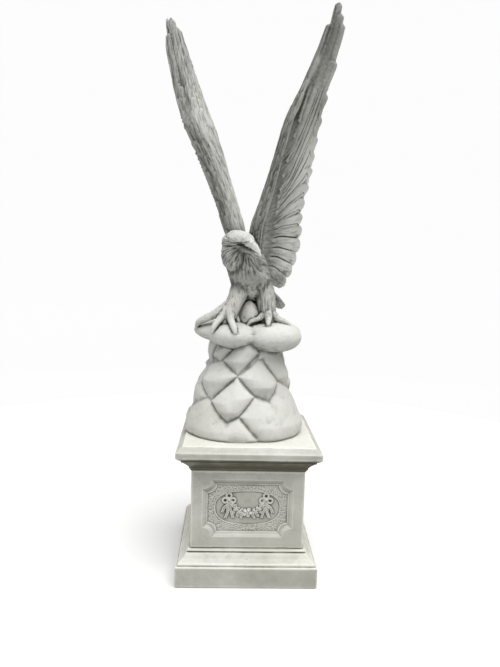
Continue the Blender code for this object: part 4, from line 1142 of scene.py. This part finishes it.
def make_eagle():
    """The eagle and its rock as one skin."""
    bird = [loft(ellipse_rings(TORSO, 64, 0.006)), *head_shells(), *leg_shells(), *tail_shells(),
            *wing_shells(WING_SECTIONS, RIGHT_SWELL),
            *mirror(wing_shells(LEFT_WING_SECTIONS, LEFT_SWELL) + tip_shells())]
    bird = [(turned(points, EAGLE_TURN, EAGLE_X), faces) for points, faces in bird]
    made = joined("eagle_and_rock", [*bird, mound_shell(), slab_shell()])
    skin = made.modifiers.new("skin", "REMESH")
    skin.mode = "VOXEL"
    skin.voxel_size = VOXEL
    skin.use_smooth_shade = True
    apply_modifiers(made)
    keep_largest(made)
    edges = edges_of(made)
    points = points_of(made)
    # joints of the legs and the belly are rounded over
    soft = relaxed(points, edges, 24)
    local = turned(points - (EAGLE_X, 0, 0), -EAGLE_TURN, 0.0)
    height = local[:, 2]
    c, off = wing_place(local)[:2]
    web = (c > 0.10) & (np.abs(off) < 0.03) & (height > 1.13)
    blend = step(1.085, 1.110, height) * step(1.290, 1.255, height) * ~web
    side = np.abs(np.arctan2(points[:, 0] - MOUND[3][1], -points[:, 1]))
    blend = np.maximum(blend, 0.85 * step(1.05, 1.30, side) * (points[:, 2] < 0.93))
    points = blended(points, soft, blend)
    # the boulders at the sides are worn smoother
    height = points[:, 2]
    blend = step(1.20, 1.36, side) * step(0.785, 0.810, height) * step(0.905, 0.885, height)
    points = blended(points, relaxed(soft, edges, 110), blend)
    set_points(made, 0.4 * points + 0.6 * relaxed(points, edges, 1))
    carve_eagle(made)
    low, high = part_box("eagle_on_rock")
    set_points(made, np.clip(points_of(made), np.array(low) + 0.0001, np.array(high) - 0.0001))
    thinned(made)
    return made


def fine_profile(rows):
    """A profile of (half width, height) cut into short steps, its corners a little rounded."""
    rows = np.array(rows, float)
    at = distances(rows)
    fine = np.linspace(0, at[-1], int(at[-1] / MOULDING_GAP))
    line = np.column_stack([np.interp(fine, at, rows[:, k]) for k in (0, 1)])
    line[1:-1] = 0.2 * line[:-2] + 0.6 * line[1:-1] + 0.2 * line[2:]
    return line


def square_ring(half, height, side_places, rounding):
    """A square ring with rounded corners, from places between -1 and 1 along each side."""
    flat = []
    for turn in range(4):
        cos, sin = (1, 0, -1, 0)[turn], (0, 1, 0, -1)[turn]
        x, y = side_places[turn] * half, np.full(len(side_places[turn]), -half)
        flat.append(np.column_stack((cos * x - sin * y, sin * x + cos * y)))
    flat = np.concatenate(flat)
    core = np.clip(flat, -(half - rounding), half - rounding)
    away = flat - core
    size = np.linalg.norm(away, axis=1)[:, None]
    flat = core + away / np.maximum(size, 1e-9) * rounding
    return np.column_stack((flat, np.full(len(flat), height)))


def moulded(name, node, rows, rounding):
    """The base or cap from its profile, with slightly uneven faces and worn edges."""
    places = np.sin(np.linspace(-1, 1, 96, endpoint=False) * math.pi / 2)
    rings = [square_ring(half, z, [places] * 4, min(rounding, 0.4 * half))
             for half, z in fine_profile(rows)]
    made = joined(name, [loft(rings)])
    wear(made, node, 0.0010)
    thinned(made)
    return made


def wear(obj, node, edge_loss):
    """Broad unevenness, small pits, and edges worn down here and there."""
    points, normals, edges = points_of(obj), normals_of(obj), edges_of(obj)
    sharp = np.clip(np.sum((points - relaxed(points, edges, 4)) * normals, axis=1) / 0.0006, 0, 1)
    loss = step(0.15, 0.75, noise(points, 0.035, 81, 2))
    move = 0.0005 * noise(points, 0.06, 83, 2) - edge_loss * sharp * loss
    move -= 0.0005 * step(0.82, 0.94, noise(points, 0.007, 85, 1))
    points = points + normals * move[:, None]
    low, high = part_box(node)
    set_points(obj, np.clip(points, np.array(low) + 0.00005, np.array(high) - 0.00005))


def notched_depth(x, z, half_w, half_h, notch):
    """How far points lie inside a rectangle whose corners are hollowed by quarter circles."""
    edge = np.minimum(half_w - np.abs(x), half_h - np.abs(z))
    corner = np.hypot(half_w - np.abs(x), half_h - np.abs(z)) - notch
    return np.minimum(edge, corner)


def dome(x, z, cx, cz, radius, height):
    """A rounded knob."""
    return height * np.sqrt(np.clip(1 - ((x - cx) ** 2 + (z - cz) ** 2) / radius ** 2, 0, 1))


def petals(x, z, cx, cz, radius, height, count, turn):
    """A flower with rounded petals and a knob in its middle."""
    away = np.hypot(x - cx, z - cz)
    lobe = np.abs(np.cos(0.5 * (np.arctan2(z - cz, x - cx) * count + turn))) ** 0.5
    rim = radius * (0.60 + 0.40 * lobe)
    flower = height * np.sqrt(np.clip(1 - (away / rim) ** 4, 0, 1)) * (0.50 + 0.50 * lobe)
    return np.maximum(flower * step(0.0, 0.35, away / radius), dome(x, z, cx, cz, 0.36 * radius, height))


def leaf(x, z, cx, cz, long, wide, turn, height):
    """A pointed leaf with a vein."""
    a = (x - cx) * math.cos(turn) + (z - cz) * math.sin(turn)
    b = -(x - cx) * math.sin(turn) + (z - cz) * math.cos(turn)
    rim = wide * np.clip(1 - (a / long) ** 2, 0, 1)
    body = np.sqrt(np.clip(1 - (b / np.maximum(rim, 1e-5)) ** 2, 0, 1))
    return height * body * (0.6 + 0.4 * step(0, 0.0015, np.abs(b)))


def ribbon(x, z, path, half, height):
    """A flat band along a path, with a groove down its middle."""
    nearest = np.full(x.shape, 1.0)
    for a, b in zip(path[:-1], path[1:]):
        nearest = np.minimum(nearest, from_segment(x, z, a, b))
    return height * step(half, 0.55 * half, nearest) * (0.65 + 0.35 * step(0, 0.4 * half, nearest))


def swag(x, z):
    """Height of the relief in the oval: two bows with tails, and a garland of flowers between them."""
    relief = np.zeros(x.shape)
    z = z - PANEL_Z
    bow_z = BOW_Z - PANEL_Z
    for side in (-1, 1):
        bow_x = side * BOW_X
        for degrees, far in BOW_LOOPS:
            turn = math.radians(degrees)
            cx, cz = bow_x + far * math.cos(turn), bow_z + far * math.sin(turn)
            from_rim = np.abs(np.hypot(x - cx, z - cz) - LOOP_RADIUS)
            relief = np.maximum(relief, LOOP_HEIGHT * step(0.0050, 0.0024, from_rim))
        relief = np.maximum(relief, dome(x, z, bow_x, bow_z, 0.0080, 0.0068))
        for tail in BOW_TAILS:
            path = [(bow_x + side * out, bow_z + up) for out, up in tail]
            relief = np.maximum(relief, ribbon(x, z, path, RIBBON_HALF, RIBBON_HEIGHT))
            end_x, end_z = path[-1]
            # the V cut into the ribbon's end
            relief = np.where(np.hypot(x - end_x, z - end_z + 0.004) < 0.0036, 0.0, relief)
        for k in range(FLOWERS):
            s = (k + 0.4) / FLOWERS
            cx = side * (0.0640 - 0.054 * s)
            cz = bow_z - 0.016 - 0.042 * math.sin(0.5 * math.pi * s)
            lean = 1.2 * side * (1 - s)
            for up in (-1, 1):
                relief = np.maximum(relief, leaf(x, z, cx + 0.006 * side, cz + up * 0.012, 0.0125,
                                                 0.0070, lean + up * 1.1, 0.0040))
            relief = np.maximum(relief, petals(x, z, cx, cz, 0.0112, 0.0064, 5, 0.7 * k))
    return np.maximum(relief, petals(x, z, 0.0, FLOWER_Z - PANEL_Z, 0.0205, 0.0090, 5, 0.4))


def panel_depth(x, z, front):
    """How deep the die's face lies at (x, z): a notched panel, and in front its oval and garland."""
    z_in = z - PANEL_Z
    outer = notched_depth(x, z_in, PANEL_HALF_W, PANEL_HALF_H, PANEL_NOTCH)
    inner = notched_depth(x, z_in, PANEL_HALF_W - PANEL_BAND, PANEL_HALF_H - PANEL_BAND, PANEL_NOTCH)
    depth = PANEL_STEP * step(0, 0.0012, outer)
    depth += (PANEL_SLOPE * step(0.001, 0.9 * PANEL_BAND, outer) * (inner < 0)
              + PANEL_SLOPE * (inner >= 0))
    depth += (PANEL_DEPTH - PANEL_RIM) * step(-0.0004, 0.0016, inner)
    if front:
        oval = 1 - (np.abs(x / OVAL_HALF_W) ** 2.5 + np.abs(z_in / OVAL_HALF_H) ** 2.5)
        place = np.column_stack((x / STIPPLE_SIZE, z / STIPPLE_SIZE, np.zeros(len(x))))
        dots = np.clip(lattice(place, 91), 0, 1) * STIPPLE_HEIGHT
        depth += dots * step(0.0015, 0.004, inner) * (oval < -0.03)
        depth -= OVAL_RIM * step(-0.09, -0.05, oval) * step(0.0, -0.03, oval)
        depth += OVAL_DEPTH * step(0.0, 0.035, oval)
        depth -= np.where(oval > 0.02, SWAG_SCALE * swag(x, z), 0.0)
    return depth


def make_die():
    """The die with its four panels and the garland in front."""
    front = np.linspace(-1, 1, int(2 * DIE_HALF / DIE_GAP), endpoint=False)
    side = np.linspace(-1, 1, 84, endpoint=False)
    sides = (front, side, side, side)
    rings = [square_ring(0.05, DIE_BOTTOM, sides, 0.001)]
    for z in np.linspace(DIE_BOTTOM, DIE_TOP, int((DIE_TOP - DIE_BOTTOM) / DIE_GAP)):
        half = DIE_HALF - 0.002 * max(0, 1 - (z - DIE_BOTTOM) / 0.002)
        ring = square_ring(half, z, sides, 0.0022)
        start = 0
        for turn, places in enumerate(sides):
            rows = slice(start, start + len(places))
            depth = panel_depth(places * DIE_HALF, np.full(len(places), z), turn == 0)
            axis, sign = ((1, 1), (0, -1), (1, -1), (0, 1))[turn]
            ring[rows, axis] += sign * depth
            start += len(places)
        rings.append(ring)
    rings.append(square_ring(0.05, DIE_TOP, sides, 0.001))
    made = joined("die_with_garland", [loft(rings)])
    wear(made, "plinth_die", 0.0007)
    thinned(made)
    return made


def make_plinth():
    """The base, die and cap of the plinth, each with the node that it stands for."""
    slope = BASE_FILLET_HALF - BASE_SLOPE_HALF
    base = moulded("base_moulding", "plinth_base", (
        (0.02, 0.0), (BASE_HALF - 0.004, 0.0), (BASE_HALF, 0.004), (BASE_HALF, BASE_BLOCK_TOP - 0.002),
        (BASE_HALF - 0.002, BASE_BLOCK_TOP), (BASE_FILLET_HALF + 0.001, BASE_BLOCK_TOP + 0.0006),
        (BASE_FILLET_HALF, BASE_FILLET_TOP), (BASE_SLOPE_HALF + 0.70 * slope, BASE_FILLET_TOP + 0.0076),
        (BASE_SLOPE_HALF + 0.34 * slope, BASE_FILLET_TOP + 0.0172), (BASE_SLOPE_HALF, BASE_SLOPE_TOP),
        (BASE_SLOPE_HALF - 0.0045, BASE_SLOPE_TOP + 0.0010),
        (BASE_SLOPE_HALF - 0.0040, BASE_SLOPE_TOP + 0.0035),
        (BASE_SLOPE_HALF - 0.0015, BASE_SLOPE_TOP + 0.0070),
        (BASE_SLOPE_HALF - 0.0035, BASE_TOP - 0.0015),
        (BASE_SLOPE_HALF - 0.0060, BASE_TOP), (0.02, BASE_TOP)), 0.003)
    out = CAP_FACE_HALF - CAP_NECK_HALF
    up = CAP_FACE_BOTTOM - CAP_BOTTOM
    hollow = [(CAP_NECK_HALF + a * out, CAP_BOTTOM + b * up) for a, b in
              ((0.00, 0.025), (0.02, 0.12), (0.09, 0.14), (0.11, 0.27), (0.26, 0.44), (0.52, 0.66),
               (0.64, 0.71), (0.65, 0.83), (0.79, 0.89))]
    cap = moulded("cap_moulding", "plinth_cap", (
        (0.02, CAP_BOTTOM), (CAP_NECK_HALF - 0.001, CAP_BOTTOM), *hollow,
        (CAP_FACE_HALF - 0.004, CAP_FACE_BOTTOM - 0.001),
        (CAP_FACE_HALF, CAP_FACE_BOTTOM + 0.002), (CAP_FACE_HALF, CAP_FACE_TOP - 0.001),
        (CAP_FACE_HALF - 0.002, CAP_FACE_TOP + 0.001), (CAP_INNER_HALF + 0.0016, CAP_TOP - 0.0030),
        (CAP_INNER_HALF, CAP_TOP - 0.0028), (CAP_INNER_HALF - 0.0014, CAP_TOP), (0.02, CAP_TOP)), 0.004)
    return (base, "plinth_base"), (make_die(), "plinth_die"), (cap, "plinth_cap")


def stone(name, light, grey, dark, shelter_shade):
    """Weathered cast stone: a pale body, dark patina in its recesses, painted shade in sheltered places,
    mottling, pits and grain.
    """
    material = bpy.data.materials.new(name)
    material.use_nodes = True
    tree = material.node_tree
    nodes, links = tree.nodes, tree.links

    def put(made, values):
        """Give sockets of a node their links, numbers and colours."""
        for key, value in values.items():
            if isinstance(value, bpy.types.NodeSocket):
                links.new(value, made.inputs[key])
            else:
                made.inputs[key].default_value = (*value, 1.0) if isinstance(value, tuple) else value
        return made

    def texture(size, detail, rough, vector):
        return put(nodes.new("ShaderNodeTexNoise"), {
            "Scale": size, "Detail": detail, "Roughness": rough, "Vector": vector}).outputs["Fac"]

    def spread(value, low, high, to_low=0.0, to_high=1.0):
        return put(nodes.new("ShaderNodeMapRange"), {
            "From Min": low, "From Max": high, "To Min": to_low, "To Max": to_high,
            "Value": value}).outputs["Result"]

    def calc(kind, a, b):
        made = nodes.new("ShaderNodeMath")
        made.operation = kind
        return put(made, {0: a, 1: b}).outputs[0]

    def mixed(fac, a, b):
        made = nodes.new("ShaderNodeMix")
        made.data_type = "RGBA"
        return put(made, {0: fac, 6: a, 7: b}).outputs[2]

    def attribute(title, output="Fac"):
        made = nodes.new("ShaderNodeAttribute")
        made.attribute_name = title
        return made.outputs[output]

    place = nodes.new("ShaderNodeTexCoord").outputs["Object"]
    mottle = texture(9.0, 5.0, 0.6, place)
    cloud = texture(3.2, 3.0, 0.6, place)
    film = texture(42.0, 6.0, 0.75, place)
    speck = texture(240.0, 4.0, 0.75, place)
    grit = texture(620.0, 3.0, 0.7, place)
    hairs = texture(1.0, 2.0, 0.5, attribute("flow", "Vector"))
    # dark patina in recesses and in thin films, and painted shade in sheltered places
    recess = spread(attribute("recess"), 0.44, 0.80)
    # painted shade: the less open a point is to the sky, the darker it is
    closed = spread(attribute("clear"), 0.85, 0.25)
    patina_and_shade = calc("ADD", calc("MULTIPLY", recess, 0.75), calc("MULTIPLY", closed, shelter_shade))
    patina_and_shade = calc("MULTIPLY", patina_and_shade, spread(mottle, 0.30, 0.70, 0.65, 1.25))
    patina_and_shade = calc("ADD", patina_and_shade, spread(film, 0.50, 0.78, 0.0, 0.16))
    patina_and_shade = calc("MINIMUM", patina_and_shade, 1.0)
    # the pale body, warmer in clouds and darker in specks, then the grey
    warm = (0.90 * light[0], 0.895 * light[1], 0.86 * light[2])
    base = mixed(spread(cloud, 0.35, 0.65), light, warm)
    base = mixed(spread(speck, 0.56, 0.72, 0.0, 0.35), base, tuple(v * 0.72 for v in light))
    raised = spread(attribute("recess"), 0.50, 0.30)
    greyed = calc("MULTIPLY", attribute("grey"), spread(mottle, 0.30, 0.70, 0.84, 1.1))
    greyed = calc("MULTIPLY", greyed, spread(raised, 0.0, 1.0, 1.0, 0.62))
    base = mixed(greyed, base, grey)
    # streaks, pale and dark
    bright = calc("MULTIPLY", spread(hairs, 0.46, 0.34), attribute("hair"))
    lines = calc("MULTIPLY", spread(hairs, 0.48, 0.68), attribute("hair"))
    base = mixed(calc("MULTIPLY", bright, 0.45), base, light)
    patina_and_shade = calc("MINIMUM", calc("ADD", patina_and_shade, calc("MULTIPLY", lines, 0.50)), 1.0)
    height = calc("ADD", calc("MULTIPLY", speck, 0.6), calc("MULTIPLY", grit, GRAIN))
    height = calc("SUBTRACT", height, calc("MULTIPLY", lines, 0.9))
    bump = put(nodes.new("ShaderNodeBump"), {
        "Strength": BUMP_STRENGTH, "Distance": BUMP_HEIGHT, "Height": height})
    put(nodes["Principled BSDF"], {
        "Roughness": ROUGHNESS, "Specular IOR Level": SHEEN, "Base Color": mixed(patina_and_shade, base, dark),
        "Normal": bump.outputs["Normal"]})
    return material


def add_camera():
    """The camera with its turn, tip and roll."""
    turn, tip, roll = CAMERA_TURN, CAMERA_TIP, CAMERA_ROLL
    right = Vector((math.cos(turn), math.sin(turn), 0))
    ahead = Vector((-math.sin(turn) * math.cos(tip), math.cos(turn) * math.cos(tip), math.sin(tip)))
    up = right.cross(ahead)
    across = right * math.cos(roll) + up * math.sin(roll)
    over = up * math.cos(roll) - right * math.sin(roll)
    data = bpy.data.cameras.new("camera")
    data.lens = FOCAL_PIXELS / PICTURE_PIXELS * SENSOR
    data.sensor_width = SENSOR
    matrix = Matrix((across, over, -ahead)).transposed().to_4x4()
    matrix.translation = CAMERA_PLACE
    camera = linked("camera", data)
    camera.matrix_world = matrix
    bpy.context.scene.camera = camera


def add_floor():
    """A pale round floor."""
    turns = 2 * np.pi * np.arange(FLOOR_SIDES) / FLOOR_SIDES
    points = [(0, 0, 0)] + [(r * math.cos(t), r * math.sin(t), 0) for r in FLOOR_RADII for t in turns]
    following = [(k, (k + 1) % FLOOR_SIDES) for k in range(FLOOR_SIDES)]
    faces = [(0, 1 + k, 1 + m) for k, m in following]
    for row in range(len(FLOOR_RADII) - 1):
        a = 1 + row * FLOOR_SIDES
        b = a + FLOOR_SIDES
        faces.extend((a + k, b + k, b + m, a + m) for k, m in following)
    floor = object_from("floor", points, faces)
    pale = bpy.data.materials.new("floor_pale")
    pale.use_nodes = True
    shader = pale.node_tree.nodes["Principled BSDF"]
    shader.inputs["Base Color"].default_value = FLOOR_COLOUR
    shader.inputs["Roughness"].default_value = 0.9
    floor.data.materials.append(pale)


def add_backdrop():
    """A white background that only the camera sees, so that it adds no light."""
    shell = bmesh.new()
    bmesh.ops.create_uvsphere(shell, u_segments=48, v_segments=24, radius=BACKDROP_RADIUS)
    mesh = bpy.data.meshes.new("backdrop")
    shell.to_mesh(mesh)
    shell.free()
    backdrop = linked("backdrop", mesh)
    backdrop.visible_diffuse = False
    backdrop.visible_glossy = False
    backdrop.visible_transmission = False
    backdrop.visible_volume_scatter = False
    backdrop.visible_shadow = False
    white = bpy.data.materials.new("backdrop_white")
    white.use_nodes = True
    shader = white.node_tree.nodes["Principled BSDF"]
    shader.inputs["Base Color"].default_value = (0, 0, 0, 1)
    shader.inputs["Emission Color"].default_value = (1, 1, 1, 1)
    shader.inputs["Emission Strength"].default_value = BACKDROP_GLOW
    backdrop.data.materials.append(white)


def add_light():
    """A soft sky, brighter above, and one large light from above."""
    world = bpy.data.worlds.new("studio")
    world.use_nodes = True
    nodes, links = world.node_tree.nodes, world.node_tree.links
    place = nodes.new("ShaderNodeTexCoord")
    split = nodes.new("ShaderNodeSeparateXYZ")
    ramp = nodes.new("ShaderNodeValToRGB")
    ramp.color_ramp.elements[0].color = (SKY_LOW, SKY_LOW, SKY_LOW, 1)
    ramp.color_ramp.elements[1].color = (1.0, 1.0, 1.0, 1)
    links.new(place.outputs["Generated"], split.inputs[0])
    links.new(split.outputs["Z"], ramp.inputs[0])
    links.new(ramp.outputs["Color"], nodes["Background"].inputs["Color"])
    nodes["Background"].inputs["Strength"].default_value = SKY_STRENGTH
    bpy.context.scene.world = world
    sun = bpy.data.lights.new("top", "SUN")
    sun.energy = SUN_ENERGY
    sun.angle = SUN_ANGLE
    light = linked("top", sun)
    light.rotation_euler = (-Vector(SUN_FROM)).to_track_quat("-Z", "Y").to_euler()
    bpy.context.scene.view_settings.view_transform = "Standard"


def main():
    """Make every piece, then the camera and the room."""
    eagle_stone = stone("eagle_stone", *EAGLE_STONE)
    plinth_stone = stone("plinth_stone", *PLINTH_STONE)
    pieces = [(make_eagle(), "eagle_on_rock"), *make_plinth()]
    tree = scene_tree([piece for piece, _ in pieces])
    for piece, node in pieces:
        carved = node == "eagle_on_rock"
        piece.data.polygons.foreach_set("use_smooth", np.ones(len(piece.data.polygons), bool))
        add_patina_and_painted_shade(piece, tree, EAGLE_RAYS if carved else PLINTH_RAYS,
                 eagle_look if carved else plinth_look)
        piece.data.materials.clear()
        piece.data.materials.append(eagle_stone if carved else plinth_stone)
        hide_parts(node)
        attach(piece, "root")
    add_camera()
    add_floor()
    add_backdrop()
    add_light()


main()
